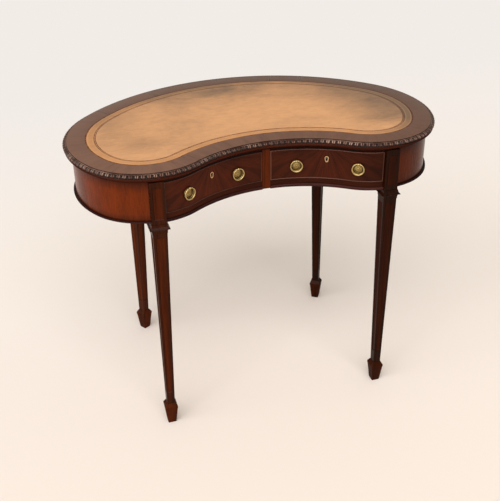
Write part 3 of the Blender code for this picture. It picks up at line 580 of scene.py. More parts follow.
def new_material(name):
    """A material with its shader, the place in the desk, and the piece's own grain map."""
    material = bpy.data.materials.new(name)
    material.use_nodes = True
    return material, *read(material.node_tree, "ShaderNodeTexCoord", ("Object", "UV"))


def set_shader(material, colour, roughness, height=None, bump=0.3, distance=0.2 * MM, **sockets):
    """Gives a material's shader its colour, roughness and bump, and plain values for its other sockets."""
    tree = material.node_tree
    shader = tree.nodes["Principled BSDF"]
    tree.links.new(colour.socket, shader.inputs["Base Color"])
    if isinstance(roughness, Value):
        tree.links.new(roughness.socket, shader.inputs["Roughness"])
    else:
        shader.inputs["Roughness"].default_value = roughness
    if height:
        bumped = read(tree, "ShaderNodeBump", "Normal", {"Strength": bump, "Distance": distance, "Height": height})
        tree.links.new(bumped.socket, shader.inputs["Normal"])
    for key, value in sockets.items():
        shader.inputs[key.replace("_", " ")].default_value = value
    return material


def side_shade(colour, place, left, right):
    """A colour scaled from the left of the desk to the right: painted light, falling from the left."""
    return colour.scaled(place.parts()[0].remap(-0.25, 0.35, left, right))


# Materials

# How often the fibres and the broader figure of each wood change in a metre, along the axes of its map
MOULDING_GRAIN = (14.0, 600.0, 1.0), (3.0, 60.0, 1.0)
RAIL_GRAIN = (14.0, 500.0, 1.0), (3.0, 50.0, 1.0)
BEAD_GRAIN = (14.0, 900.0, 1.0), (4.0, 90.0, 1.0)
FRIEZE_GRAIN = (260.0, 26.0, 1.0), (16.0, 3.0, 1.0)
STILE_GRAIN = (420.0, 420.0, 14.0), (60.0, 60.0, 4.0)
LEG_GRAIN = (420.0, 420.0, 11.0), (46.0, 46.0, 1.6)

# Where hands and books have darkened the leather: place, reach across and back, strength
LEATHER_SMUDGES = (
    ((0.350, -0.010), (0.120, 0.130), 0.62),
    ((0.290, 0.100), (0.130, 0.080), 0.30),
    ((0.010, 0.190), (0.110, 0.050), 0.26),
    ((-0.360, 0.020), (0.080, 0.170), 0.34),
    ((-0.290, -0.120), (0.060, 0.050), 0.36),
    ((0.405, -0.080), (0.080, 0.150), 0.36),
    ((-0.160, -0.010), (0.070, 0.030), 0.12),
    ((0.330, -0.140), (0.080, 0.045), 0.34),
)
VENEER_LENGTH = 118.0 * MM
STAMP_PITCH = 9.0 * MM


def wood(name, dark, light, grain, mapped=True, roughness=0.26, coat=0.1, gloss=0.0, figure_share=0.6,
         low=0.34, high=0.66, sides=(1.0, 0.6), edges=None):
    """Polished or plain wood: fine fibres, a broader figure and dark pores.

    mapped wood follows the piece's grain map, other wood its place in the desk. sides scales the colour at
    the left and right of the desk, as painted light that falls from the left, and edges is the foot and top
    of a panel that is darkened next to its mouldings by painted shade.
    """
    material, place, own_map = new_material(name)
    source = own_map if mapped else place
    fibre, figure = grain
    fibres = source.noise(fibre, 4.0, 0.6, 0.15)
    figures = source.noise(figure, 3.0, 0.55, 0.5, (3.1, 1.7, 0.4))
    colour = (figures * figure_share + fibres * (1.0 - figure_share)).remap(low, high).mix(dark, light)
    pores = source.noise([3.0 * value for value in fibre], 1.0, 0.5, 0.0, (7.7, 2.2, 5.1))
    colour = pores.remap(0.62, 0.74, 0.0, 0.55).mix(colour, [0.45 * value for value in dark])
    # Painted light: lighter to the left of the desk, darker to the right.
    colour = side_shade(colour, place, *sides)
    # Painted shade: darker under the top's moulding and above the foot moulding.
    if edges:
        foot, top = edges
        up = place.parts()[2]
        colour = colour.scaled(up.remap(foot, foot + 17 * MM, 0.5, 1.0) * up.remap(top - 29 * MM, top, 1.0, 0.32))
    rough = fibres.remap(0.3, 0.7, roughness - 0.05, roughness + 0.07)
    return set_shader(material, colour, rough, fibres, 0.12, 0.15 * MM, Coat_Weight=coat, Coat_Roughness=0.12,
                      Specular_IOR_Level=gloss)


def crossband_material(settings):
    """Veneer laid across the edge in short lengths, with a dark line at its outer edge."""
    material, place, source = new_material("crossband veneer")
    along, across, _ = source.parts()
    fibres = source.noise((900.0, 22.0, 1.0), 4.0, 0.6, 0.1)
    figures = source.noise((42.0, 5.0, 1.0), 3.0, 0.55, 0.3)
    length = (along / VENEER_LENGTH).maths("FLOOR")
    tone = read(length.tree, "ShaderNodeTexWhiteNoise", "Value", {"W": length}, noise_dimensions="1D")
    blended = figures * 0.45 + fibres * 0.45 + tone * 0.05
    colour = blended.remap(0.24, 0.76).mix(settings.band_dark, settings.band_light)
    colour = (across.remap(2.6 * MM, 3.0 * MM, 1.0, 0.0) * 0.85).mix(colour, screen(18, 8, 6))
    # Painted light and sheen: lighter to the left and towards the front, darker to the right and the back.
    colour = side_shade(colour, place, 1.15, 0.85).scaled(place.parts()[1].remap(-0.27, 0.27, 1.10, 0.80))
    rough = figures.remap(0.3, 0.7, 0.26, 0.38)
    return set_shader(material, colour, rough, fibres, 0.1, 0.12 * MM, Coat_Weight=0.02, Coat_Roughness=0.16,
                      Specular_IOR_Level=0.03)


def leather_material(settings):
    """Worn tan hide with a gilt border between a dark edge line and a double tooled line."""
    material, place, own_map = new_material("tooled leather")
    cloud = place.noise((5.0, 7.0, 1.0), 4.0, 0.6, 0.8, (4.3, 1.2, 0.0))
    fine = place.noise((60.0, 95.0, 1.0), 4.0, 0.65, 0.3)
    creases = place.noise((16.0, 120.0, 1.0), 3.0, 0.6, 0.4)
    mottle = cloud * 0.62 + fine * 0.22 + creases * 0.16
    blotches = place.noise((32.0, 60.0, 1.0), 5.0, 0.7, 0.5, (7.7, 3.9, 0.0))
    worn = mottle.remap(0.42, 0.72, 0.0, 0.32) + blotches.remap(0.34, 0.70, -0.08, 0.13)
    ragged = mottle.remap(0.35, 0.65, -0.25, 0.25)
    for centre, reach, strength in LEATHER_SMUDGES:
        offset = (-centre[0] / reach[0], -centre[1] / reach[1], 0.0)
        spot = place.mapped((1 / reach[0], 1 / reach[1], 0.0), offset)
        far = vector_maths(spot.tree, "LENGTH", spot, output="Value")
        worn += (far + ragged).remap(0.0, 1.2, strength, 0.0)
    x, y, _ = place.parts()
    along, inwards, _ = own_map.parts()
    # Darker along the back edge of the leather.
    darker_back = inwards.remap(0.0, 0.10, 0.74, 0.0) * y.remap(0.0, 0.2) * cloud.remap(0.3, 0.7, 0.7, 1.25)
    dark_rim = inwards.remap(18 * MM, 32 * MM, 1.0, 0.1) * y.remap(0.04, 0.16, 1.0, 0.1)
    right_rim = dark_rim * x.remap(0.20, 0.43, 0.0, 0.8)
    worn = (worn + darker_back + right_rim).maths("MAXIMUM", 0.0).maths("MINIMUM", 1.0)

    def band(middle, half, soft=0.25 * MM):
        """1 within half of a distance from the leather's edge."""
        return (inwards - middle).maths("ABSOLUTE").remap(half, half + soft, 1.0, 0.0)

    width = settings.tooled_border
    colour = (band(width / 2, width / 2 - 0.5 * MM) * 0.5).mix(settings.leather_light, settings.gilt)
    colour = worn.mix(colour, settings.leather_dark)
    flecks = place.noise((230.0, 300.0, 1.0), 2.0, 0.7)
    colour = flecks.remap(0.66, 0.80, 0.0, 0.25).mix(colour, screen(120, 82, 56))
    strokes = ((along + inwards * 0.9) * (WHOLE / STAMP_PITCH)).maths("SINE")
    stamps = strokes.remap(0.2, 0.9) * band(0.52 * width, 4.2 * MM, 1.0 * MM)
    colour = (stamps * 0.14).mix(colour, screen(168, 112, 60))
    for middle in (0.24 * width, 0.80 * width):
        colour = (band(middle, 0.7 * MM) * 0.2).mix(colour, screen(226, 172, 104))
    lines = band(1.5 * MM, 1.7 * MM)
    for middle in (width, width + 3.2 * MM):
        lines = lines.maths("MAXIMUM", band(middle, 0.9 * MM))
    colour = (lines * fine.remap(0.35, 0.6, 1.0, 0.65)).mix(colour, settings.tooling)
    pebbles = read(place.tree, "ShaderNodeTexVoronoi", "Distance", {"Vector": place, "Scale": 520.0})
    rough = worn.remap(0.0, 1.0, 0.52, 0.42)
    return set_shader(material, colour, rough, pebbles * 0.5 + fine * 0.6, 0.22, 0.25 * MM, Specular_IOR_Level=0.04)


def flame_material(settings):
    """Crotch veneer: plumes that fan down from above the keyhole."""
    material, place, source = new_material("flame veneer")
    along, up, _ = source.parts()
    sideways = along.maths("ABSOLUTE")
    down = 1.15 * (DRAWER_TOP - DRAWER_FOOT) - up
    turn = sideways.maths("ARCTAN2", down)
    reach = (sideways * sideways + down * down).maths("SQRT")
    fan = read(turn.tree, "ShaderNodeCombineXYZ", "Vector", {"X": turn, "Y": reach})
    plumes = fan.noise((9.0, 7.0, 1.0), 3.0, 0.6, 0.7, (3.3, 1.1, 0.0))
    fibres = fan.noise((60.0, 20.0, 1.0), 4.0, 0.65, 0.3, (2.2, 6.1, 0.0))
    cloud = source.noise((14.0, 18.0, 1.0), 2.0, 0.5, 0.5, (5.0, 1.0, 0.0))
    blended = plumes * 0.52 + fibres * 0.22 + cloud * 0.26 + turn.remap(0.0, 0.9, 0.10, -0.04)
    colour = blended.remap(0.38, 0.66).mix(settings.flame_dark, settings.flame_light)
    rough = fibres.remap(0.3, 0.7, 0.20, 0.30)
    # Painted light: the drawer veneer is lighter to the left of the desk and darker to the right.
    return set_shader(material, side_shade(colour, place, 1.15, 0.5), rough, fibres, 0.08, 0.12 * MM,
                      Coat_Weight=0.1, Coat_Roughness=0.12, Specular_IOR_Level=0.0)


def carving_material(settings):
    """Stained carving: near black in the cuts, rubbed brown on the leaves, with painted highlights at their tips."""
    material, place, _ = new_material("carved wood")
    relief = read(place.tree, "ShaderNodeAttribute", "Fac", attribute_name="relief")
    height = relief + place.noise((30.0, 30.0, 60.0), 3.0, 0.6).remap(0.3, 0.7, -0.22, 0.18)
    colour = height.remap(0.15, 0.95).mix(settings.carving_deep, settings.carving_high)
    # Painted highlights: pale flecks on the highest parts of the leaves.
    colour = height.remap(0.86, 1.10, 0.0, 0.7).mix(colour, screen(172, 142, 124))
    fibres = place.noise((500.0, 500.0, 500.0))
    return set_shader(material, colour, height.remap(0.2, 0.9, 0.45, 0.24), fibres, 0.1, 0.1 * MM,
                      Coat_Weight=0.2, Coat_Roughness=0.12, Specular_IOR_Level=0.15)


def brass_material(name, bright, dull, roughness, patches=900.0):
    """Polished brass with tarnish in soft patches."""
    material, place, _ = new_material(name)
    spots = place.noise((patches, patches, patches), 3.0, 0.6)
    colour = spots.remap(0.42, 0.72, 0.0, 0.8).mix(bright, dull)
    rough = spots.remap(0.35, 0.7, roughness, roughness + 0.15)
    return set_shader(material, colour, rough, spots, 0.06, 0.1 * MM, Metallic=1.0)


def steel_material():
    """Brushed lock steel with a little rust."""
    material, place, _ = new_material("dull steel")
    brushed = place.noise((60.0, 60.0, 2500.0), 3.0, 0.6)
    spots = place.noise((220.0, 220.0, 220.0), 3.0, 0.6)
    colour = spots.remap(0.45, 0.7).mix((0.34, 0.33, 0.31), (0.16, 0.12, 0.09))
    return set_shader(material, colour, brushed.remap(0.3, 0.7, 0.34, 0.5), brushed, 0.08, 0.1 * MM, Metallic=1.0)


def finish_node(name, material):
    """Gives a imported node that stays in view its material."""
    slots = frame["nodes"][name].data.materials
    slots.clear()
    slots.append(material)


# Geometry Nodes


def modifier_tree(name, build, **inputs):
    """A Geometry Nodes group with a geometry input and more named inputs; build makes its result from them."""
    tree = bpy.data.node_groups.new(name, "GeometryNodeTree")
    inputs = {"Geometry": "Geometry", **inputs}
    for label, kind in inputs.items():
        tree.interface.new_socket(label, in_out="INPUT", socket_type=f"NodeSocket{kind}")
    tree.interface.new_socket("Geometry", in_out="OUTPUT", socket_type="NodeSocketGeometry")
    given = dict(zip(inputs, read(tree, "NodeGroupInput", tuple(inputs))))
    read(tree, "NodeGroupOutput", (), {"Geometry": build(tree, given)})
    return tree


def add_tree(obj, tree, values):
    """A Geometry Nodes modifier, its inputs set by the sockets' identifiers."""
    modifier = obj.modifiers.new(tree.name, "NODES")
    modifier.node_group = tree
    for item in tree.interface.items_tree:
        if item.in_out == "INPUT" and item.name in values:
            modifier[item.identifier] = values[item.name]


def copies(tree, item, line, turn=(0.0, 0.0, 0.0)):
    """Copies of an object along a row of points, made plain."""
    points = read(tree, "GeometryNodeMeshLine", "Mesh", line)
    shape = read(tree, "GeometryNodeObjectInfo", "Geometry", {"Object": item})
    inputs = {"Points": points, "Instance": shape, "Rotation": turn}
    placed = read(tree, "GeometryNodeInstanceOnPoints", "Instances", inputs)
    return read(tree, "GeometryNodeRealizeInstances", "Geometry", {"Geometry": placed})


def painted(tree, shape, given):
    """A shape in the material that the tree is given."""
    return read(tree, "GeometryNodeSetMaterial", "Geometry", {"Geometry": shape, "Material": given["Material"]})


def wrapped_edge(tree, given):
    """Lays flat tiles end to end along a closed line and bends them to follow it."""
    step = read(tree, "ShaderNodeCombineXYZ", "Vector", {"X": given["Pitch"]})
    start = vector_maths(tree, "SCALE", step, Scale=0.5)
    strip = copies(tree, given["Tile"], {"Count": given["Tiles"], "Start Location": start, "Offset": step})
    along, outwards, up = read(tree, "GeometryNodeInputPosition", "Position").parts()
    line = {"Curves": given["Geometry"], "Length": along}
    place, tangent = read(tree, "GeometryNodeSampleCurve", ("Position", "Tangent"), line, mode="LENGTH")
    normal = vector_maths(tree, "NORMALIZE", vector_maths(tree, "CROSS_PRODUCT", UP, tangent))
    rise = read(tree, "ShaderNodeCombineXYZ", "Vector", {"Z": up})
    place = vector_maths(tree, "ADD", vector_maths(tree, "ADD", place, normal.scaled(outwards)), rise)
    bent = read(tree, "GeometryNodeSetPosition", "Geometry", {"Geometry": strip, "Position": place})
    inputs = {"Geometry": bent, "Distance": given["Weld"]}
    return painted(tree, read(tree, "GeometryNodeMergeByDistance", "Geometry", inputs), given)


def rosette(tree, given):
    """Turns copies of a petal round +Z and adds them to a turned plate."""
    share = read(tree, "GeometryNodeInputIndex", "Index") / given["Petals"]
    turn = read(tree, "ShaderNodeCombineXYZ", "Vector", {"Z": share * WHOLE})
    petals = copies(tree, given["Petal"], {"Count": given["Petals"], "Offset": (0.0, 0.0, 0.0)}, turn)
    both = read(tree, "GeometryNodeJoinGeometry", "Geometry", {"Geometry": painted(tree, petals, given)})
    tree.links.new(given["Geometry"].socket, both.socket.node.inputs["Geometry"])
    return both


# The top

CARVED_SHARES = ((0.0, 0.0), (0.55, 0.08), (0.92, 0.34), (1.0, 0.62), (0.75, 1.0))
UNDER_SHARES = ((0.85, 0.0), (1.0, 0.18), (0.85, 0.42), (0.1, 0.66), (-1.0, 1.0))
BASE_SHARES = ((0.55, 0.0), (0.9, 0.2), (1.0, 0.5), (0.9, 0.8), (0.6, 1.0))
LEAF_COLUMNS = (-1.0, -0.86, -0.70, -0.46, -0.20, 0.0, 0.20, 0.46, 0.70, 0.86, 1.0)
LEAF_ROWS = (0.0, 0.05, 0.11, 0.2, 0.34, 0.5, 0.64, 0.78, 0.9, 1.0)
# The line, out from the edge of the flat top, that the leaves are strung on
CARVED_PATH = 0.6 * CARVED_PROUD


def leaf_relief(across, down):
    """Height of the carving, 0 to 1, at a share across a leaf from its middle and a share down it."""
    away = abs(across)
    if down <= 0.05:
        return 1.0
    half = 0.78 * math.cos(QUARTER * min(1.0, max(0.0, (down - 0.25) / 0.72))) ** 0.7
    leaf = 0.0
    if half > 0.02 and away < half:
        leaf = min(1.0, (1.0 - away / half) / 0.22) ** 0.6
        leaf *= 1.0 - 0.55 * math.exp(-((away / 0.13) ** 2))
        leaf *= min(1.0, (down - 0.05) / 0.08)
    dart_half = 0.06 + 0.16 * down
    dart = 0.75 * max(0.0, 1.0 - ((1.0 - away) / dart_half) ** 2) if down > 0.22 else 0.0
    return max(leaf, dart, 0.12)


def leaf_tile(pitch, depth):
    """One leaf laid out flat: X along the edge, Y out of the desk, Z up, closed behind by a plain back."""
    profile = moulded(CARVED_SHARES, CARVED_PROUD, CARVED_TOP, CARVED_FOOT, steps=12)
    reach = distances(profile)

    def on_profile(share):
        wanted = share * reach[-1]
        k = next((k for k in range(len(reach) - 1) if reach[k + 1] >= wanted), len(reach) - 2)
        part = (wanted - reach[k]) / (reach[k + 1] - reach[k])
        start, end = Vector(profile[k]), Vector(profile[k + 1])
        run = (end - start).normalized()
        return start.lerp(end, part), Vector((-run.y, run.x))

    points, relief = [], []
    for across in LEAF_COLUMNS:
        x = across * pitch / 2
        for down in LEAF_ROWS:
            place, out = on_profile(down)
            height = leaf_relief(across, down)
            cut_in = (1.0 - height) * depth
            points.append((x, place.x - abs(out.x) * cut_in - CARVED_PATH, place.y - max(out.y, 0.0) * cut_in))
            relief.append(height)
        points += [(x, BOARD_EDGE - CARVED_PATH, z) for z in (CARVED_FOOT, CARVED_TOP)]
        relief += [0.0, 0.0]
    count = len(LEAF_ROWS) + 2
    mesh = bpy.data.meshes.new("leaf tile")
    faces = [[r * count + c % count for r, c in face] for face in walls(len(LEAF_COLUMNS), count)]
    mesh.from_pydata(points, [], faces)
    mesh.attributes.new("relief", "FLOAT", "POINT").data.foreach_set("value", relief)
    return add_object("leaf tile", mesh)


class DESK_OT_carved_edge(bpy.types.Operator):
    """Carve a row of leaves round the edge of the top"""

    bl_idname = "desk.carved_edge"
    bl_label = "Carved edge"

    def execute(self, context):
        settings = context.scene.desk_top
        line = kidney(CARVED_PATH)
        pitch = distances(line + [line[0]])[-1] / settings.leaf_count
        curve = bpy.data.curves.new("carved_leaf_edge", "CURVE")
        curve.dimensions = "3D"
        spline = curve.splines.new("POLY")
        spline.points.add(len(line) - 1)
        for point, place in zip(spline.points, line):
            point.co = (*place, 0.0, 1.0)
        spline.use_cyclic_u = True
        edge = add_object("carved_leaf_edge", curve)
        tile = leaf_tile(pitch, settings.leaf_depth)
        tree = modifier_tree(
            "carved edge", wrapped_edge, Tile="Object", Tiles="Int", Pitch="Float", Weld="Float", Material="Material"
        )
        add_tree(edge, tree, {
            "Tile": tile, "Tiles": settings.leaf_count, "Pitch": pitch, "Weld": 0.02 * MM,
            "Material": carving_material(settings),
        })
        edge = settled(edge)
        drop(tile)
        face_outwards(edge.data, 60.0)
        fit(edge, "desk", "carved_wood", "carved_edge_moulding")
        return {"FINISHED"}


class DESK_OT_leather(bpy.types.Operator):
    """Lay the tooled leather"""

    bl_idname = "desk.leather"
    bl_label = "Writing leather"

    def execute(self, context):
        settings = context.scene.desk_top
        border = settings.tooled_border
        groove, groove_half = 0.12 * MM, 0.9 * MM
        rings = [(0.0, LEATHER_FOOT - LEATHER_TOP), (0.0, -0.35 * MM), (0.25 * MM, -0.08 * MM), (0.8 * MM, 0.0)]
        for middle in (border, border + 2.6 * MM):
            rings += [(middle - groove_half, 0.0), (middle, -groove), (middle + groove_half, 0.0)]
        rings.append((border + 8.0 * MM, 0.0))
        lines = [
            [(*point, LEATHER_TOP + level) for point in kidney(-BAND_WIDTH - GAP - inwards)]
            for inwards, level in rings
        ]
        along = distances(lines[0] + [lines[0][0]])
        leather = skin(
            "tooled_leather", lines, [leather_material(settings)],
            grain=lambda ring, k: (along[k], rings[ring][0]),
        )
        fit(leather, "desk", "writing_leather", "leather_writing_surface")
        return {"FINISHED"}


class DESK_OT_crossbanding(bpy.types.Operator):
    """Lay the crossbanded border round the leather"""

    bl_idname = "desk.crossbanding"
    bl_label = "Crossbanded border"

    def execute(self, context):
        ease = 0.4 * MM
        section = [
            (0.0, BAND_FOOT), (0.0, TOP - ease), (-0.3 * ease, TOP - 0.3 * ease), (-ease, TOP),
            (-BAND_WIDTH, TOP), (-BAND_WIDTH, BAND_FOOT),
        ]
        band = sweep("crossbanded_border", kidney, section, crossband_material(context.scene.desk_top), ring=True)
        fit(band, "desk", "crossbanding", "top_crossbanding")
        return {"FINISHED"}


class DESK_OT_under_moulding(bpy.types.Operator):
    """Run the plain moulding under the carved edge"""

    bl_idname = "desk.under_moulding"
    bl_label = "Moulding under the top"

    def execute(self, context):
        section = [(BOARD_EDGE, UNDER_TOP), *moulded(UNDER_SHARES, UNDER_PROUD, UNDER_TOP, UNDER_FOOT)]
        section.append((BOARD_EDGE, UNDER_FOOT))
        dark = context.scene.desk_wood.rail_dark
        material = wood("under moulding wood", dark, screen(78, 32, 16), MOULDING_GRAIN)
        moulding = sweep("ogee_under_moulding", kidney, section, material, ring=True)
        fit(moulding, "desk", "carved_wood", "top_under_moulding")
        return {"FINISHED"}


# The frame


def base_section(proud, back, foot):
    """Section of the moulding along the foot of the frame."""
    return [(back, BASE_TOP), *moulded(BASE_SHARES, proud, BASE_TOP, foot, FACE), (back, foot)]


def board_section(back, top, foot):
    """Section of an upright board with its front at the frame's face."""
    return [(FACE, top), (FACE, foot), (back, foot), (back, top)]


def base_material(name, sides):
    """The dark wood of the moulding along the foot of the frame; sides scales it from left to right as painted light.
    """
    return wood(name, screen(22, 10, 9), screen(62, 30, 26), MOULDING_GRAIN, roughness=0.2, sides=sides)


class DESK_OT_friezes(bpy.types.Operator):
    """Veneer the ends and the back, with the moulding along their foot"""

    bl_idname = "desk.friezes"
    bl_label = "Ends and back"

    def execute(self, context):
        woods = context.scene.desk_wood
        # Painted shade at the top and foot of the frieze, and painted light from left to right on it and its foot
        # moulding.
        veneer = wood(
            "frieze veneer", woods.frieze_dark, woods.frieze_light, FRIEZE_GRAIN, coat=0.12, gloss=0.05,
            figure_share=0.68, edges=(FRIEZE_FOOT, FRAME_TOP),
        )
        dark = base_material("foot moulding wood", (1.0, 0.6))
        section = board_section(FRIEZE_BACK, FRAME_TOP, FRIEZE_FOOT)
        base = base_section(BASE_PROUD, FRIEZE_BACK, BASE_FOOT)
        for side, hand in SIDES:
            end = sweep(f"end_veneer_{hand}", end_run(side), section, veneer)
            fit(end, "desk", "frieze_veneer", f"end_frieze_{hand}")
            foot = sweep(f"end_foot_moulding_{hand}", end_run(side), base, dark)
            fit(foot, "desk", "dark_rail_wood", f"end_base_moulding_{hand}")
        fit(sweep("back_veneer", back_run, section, veneer), "desk", "frieze_veneer", "back_frieze")
        fit(sweep("back_foot_moulding", back_run, base, dark), "desk", "dark_rail_wood", "back_base_moulding")
        return {"FINISHED"}


def both_halves(name, section, material):
    """A piece of the front that the divider parts into halves."""
    return join(name, [
        sweep(f"{name}_{hand}", lambda offset: front_line(side, GAP, offset), section, material)
        for side, hand in SIDES
    ])


class DESK_OT_front_frame(bpy.types.Operator):
    """Make the rails above and below the drawers and the moulding at their foot, and veneer the stile between them"""

    bl_idname = "desk.front_frame"
    bl_label = "Rails and divider"

    def execute(self, context):
        woods = context.scene.desk_wood
        rail = wood("rail wood", woods.rail_dark, woods.rail_light, RAIL_GRAIN)
        lower = both_halves("lower_drawer_rail", board_section(RAIL_BACK, RAIL_TOP, FRIEZE_FOOT), rail)
        fit(lower, "desk", "dark_rail_wood", "drawer_bottom_rail")
        # Painted shadow: the upper rail is near black, for the shade under the overhanging top.
        shaded = wood("upper rail wood", screen(10, 4, 2), screen(30, 12, 7), RAIL_GRAIN)
        upper = both_halves("upper_drawer_rail", board_section(RAIL_BACK, FRAME_TOP, UPPER_RAIL_FOOT), shaded)
        mortise_top = UPPER_RAIL_FOOT + BOLT_THROW + GAP
        middle, half = sum(LOCK_DEPTHS) / 2, BOLT_THICKNESS / 2 + GAP
        depths = (middle - half, middle + half)
        carve(upper, [
            lock_block(side, BOLT_WIDTH + 2 * GAP, depths, UPPER_RAIL_FOOT - MM, mortise_top) for side, _ in SIDES
        ])
        fit(upper, "desk", "dark_rail_wood", "drawer_top_rail")
        # Painted sheen: the foot moulding under the drawers grows lighter towards the right.
        rubbed = base_material("front foot moulding wood", (0.9, 1.8))
        foot = both_halves("front_foot_moulding", base_section(FRONT_BASE_PROUD, RAIL_BACK, FRONT_BASE_FOOT), rubbed)
        fit(foot, "desk", "dark_rail_wood", "front_base_moulding")
        stile = wood("stile veneer", screen(54, 20, 5), screen(104, 42, 12), STILE_GRAIN, mapped=False)
        finish_node("centre_divider", stile)
        return {"FINISHED"}


# Legs

POST_PANEL_GAPS = (15.0 * MM, 12.0 * MM)
LEG_PANEL_GAPS = (12.0 * MM, 38.0 * MM)
PANEL_DEPTH = 1.6 * MM
PANEL_MARGIN_SHARE = 0.17
PANEL_ROWS = (2, 7)
PANEL_COLUMN = 2
ANKLE_HALF = 10.45 * MM
TENON_HALF = 6.5 * MM
TENON_LENGTH = 30.0 * MM
FOOT_HALF = 17.25 * MM
COLLAR_PROUD = 6.8 * MM
COLLAR_SHARES = (
    (0.2, 0.0), (0.27, 0.14), (0.52, 0.31), (0.94, 0.43), (1.0, 0.46), (1.0, 0.50), (0.42, 0.56), (0.2, 0.67),
    (0.12, 0.80), (0.12, 1.0),
)
SPADE_SHARES = ((0.60, 0.0), (0.66, 0.05), (0.93, 0.70), (1.0, 0.80), (0.98, 0.85), (0.66, 1.0))
# How much lighter or darker each leg is painted, for the light that falls on it
LEG_PAINTED_LIGHT = {"front_left": 1.05, "front_right": 0.95, "rear_left": 1.7, "rear_right": 0.9}


def square(place, turn, half, height):
    """Corners of a level square."""
    along, across = heading(turn), heading(turn + QUARTER)
    return [(*(place + u * half * across + v * half * along), height) for u, v in ((-1, -1), (1, -1), (1, 1), (-1, 1))]


def panelled_square(place, turn, half, height, depth):
    """A level square whose four sides are sunk by depth between their margins."""
    inner = half - 2 * half * PANEL_MARGIN_SHARE
    side = [
        (-half, half), (-inner, half), (depth - inner, half - depth), (inner - depth, half - depth), (inner, half),
    ]
    points = []
    for quarter in range(4):
        ahead, right = heading(turn + quarter * QUARTER), heading(turn + (quarter + 1) * QUARTER)
        points += [(*(place + u * right + v * ahead), height) for u, v in side]
    return points


def panel_levels(top, bottom):
    """Heights and depths down a sunk panel, from its top edge to its bottom edge."""
    return [(top, 0.0), (top - PANEL_DEPTH, PANEL_DEPTH), (bottom + PANEL_DEPTH, PANEL_DEPTH), (bottom, 0.0)]


class DESK_OT_legs(bpy.types.Operator):
    """Make the posts, tapered legs, collars and spade feet"""

    bl_idname = "desk.legs"
    bl_label = "Legs"

    def execute(self, context):
        woods = context.scene.desk_wood
        foot_wood = wood("spade foot wood", screen(30, 10, 2), screen(76, 28, 4), LEG_GRAIN, mapped=False)
        shoulder = SPADE_TOP + GAP
        levels = [
            (FRAME_TOP, 0.0), *panel_levels(FRAME_TOP - POST_PANEL_GAPS[0], COLLAR_TOP + POST_PANEL_GAPS[1]),
            (COLLAR_FOOT, 0.0), *panel_levels(COLLAR_FOOT - LEG_PANEL_GAPS[0], SPADE_TOP + LEG_PANEL_GAPS[1]),
            (shoulder, 0.0),
        ]
        for word, post, foot, turn in leg_places():
            # Painted light: each leg's colour is scaled for the light on it, and darker to the right of the desk.
            sides = (LEG_PAINTED_LIGHT[word], 0.6 * LEG_PAINTED_LIGHT[word])
            edge_wood = wood(
                f"leg wood {word}", woods.leg_dark, woods.leg_light, LEG_GRAIN, mapped=False, gloss=0.02,
                low=0.40, high=0.72, sides=sides,
            )
            panel_wood = wood(
                f"leg panel wood {word}", woods.leg_dark, screen(76, 28, 6), LEG_GRAIN, mapped=False, sides=sides
            )
            rows = []
            for height, depth in levels:
                down = max(0.0, (COLLAR_FOOT - height) / (COLLAR_FOOT - shoulder))
                half = POST_HALF + down * (ANKLE_HALF - POST_HALF)
                rows.append(panelled_square(post.lerp(foot, down), turn, half, height, depth))
            for height in (shoulder, SPADE_TOP - TENON_LENGTH + GAP):
                rows.append(panelled_square(foot, turn, TENON_HALF, height, 0.0))
            leg = skin(
                f"tapered_leg_{word}", rows, [edge_wood, panel_wood], smooth=20.0,
                slot_of=lambda row, column: int(row in PANEL_ROWS and column % 5 == PANEL_COLUMN),
            )
            fit(soften(leg, 0.35 * MM), "desk", "leg_wood", f"leg_{word}")

            profile = moulded(COLLAR_SHARES, COLLAR_PROUD, COLLAR_TOP, COLLAR_FOOT, steps=3)
            profile = [(GAP, COLLAR_TOP), *profile, (GAP, COLLAR_FOOT)]
            squares = [square(post, turn, POST_HALF + out, height) for out, height in profile]
            corners = [list(corner) for corner in zip(*squares)]
            collar = skin(f"moulded_collar_{word}", corners, [edge_wood], ring=True)
            fit(collar, "desk", "leg_wood", f"leg_collar_{word}")

            sections = [(FOOT_HALF * wide, SPADE_TOP * high) for wide, high in SPADE_SHARES]
            sections += [(TENON_HALF + GAP, SPADE_TOP), (TENON_HALF + GAP, SPADE_TOP - TENON_LENGTH)]
            rows = [square(foot, turn, half, height) for half, height in sections]
            spade = skin(f"spade_{word}", rows, [foot_wood], smooth=20.0)
            fit(soften(spade, 0.5 * MM), "desk", "leg_wood", f"spade_foot_{word}")
        return {"FINISHED"}


# Drawers

KEYHOLE = (3.0 * MM, 2.2 * MM, 6.0 * MM)
ESCUTCHEON = (5.3 * MM, 4.2 * MM, 7.0 * MM)
ESCUTCHEON_THICKNESS = 1.2 * MM
ESCUTCHEON_PROUD = 0.25 * MM
# Bead colours on each drawer: painted sheen makes the right bead lighter, and the left stays darker.
BEAD_PAINTED_LIGHT_COLOURS = {"left": (screen(36, 14, 7), screen(84, 36, 17)), "right": (screen(54, 25, 15), screen(116, 66, 48))}


def on_face(x, along, height, depth):
    """A point set out from the drawer face at x: along it, at a height, and so deep behind it."""
    normal = face_normal(x)
    tangent = Vector((-normal.y, normal.x))
    return (*(Vector((x, curve_y(FACE, x))) + along * tangent - depth * normal), height)


def lock_cutter(side, loop, near, far):
    """A flat shape of (along, height) points at a lock, run from one depth behind the face to another."""
    rows = [[on_face(side * LOCK_X, along, height, depth) for along, height in loop] for depth in (near, far)]
    return skin("lock cutter", rows, [])


def lock_block(side, width, depths, bottom, top):
    """A square cutter centred on a lock."""
    half = width / 2
    return lock_cutter(side, [(-half, bottom), (half, bottom), (half, top), (-half, top)], *depths)


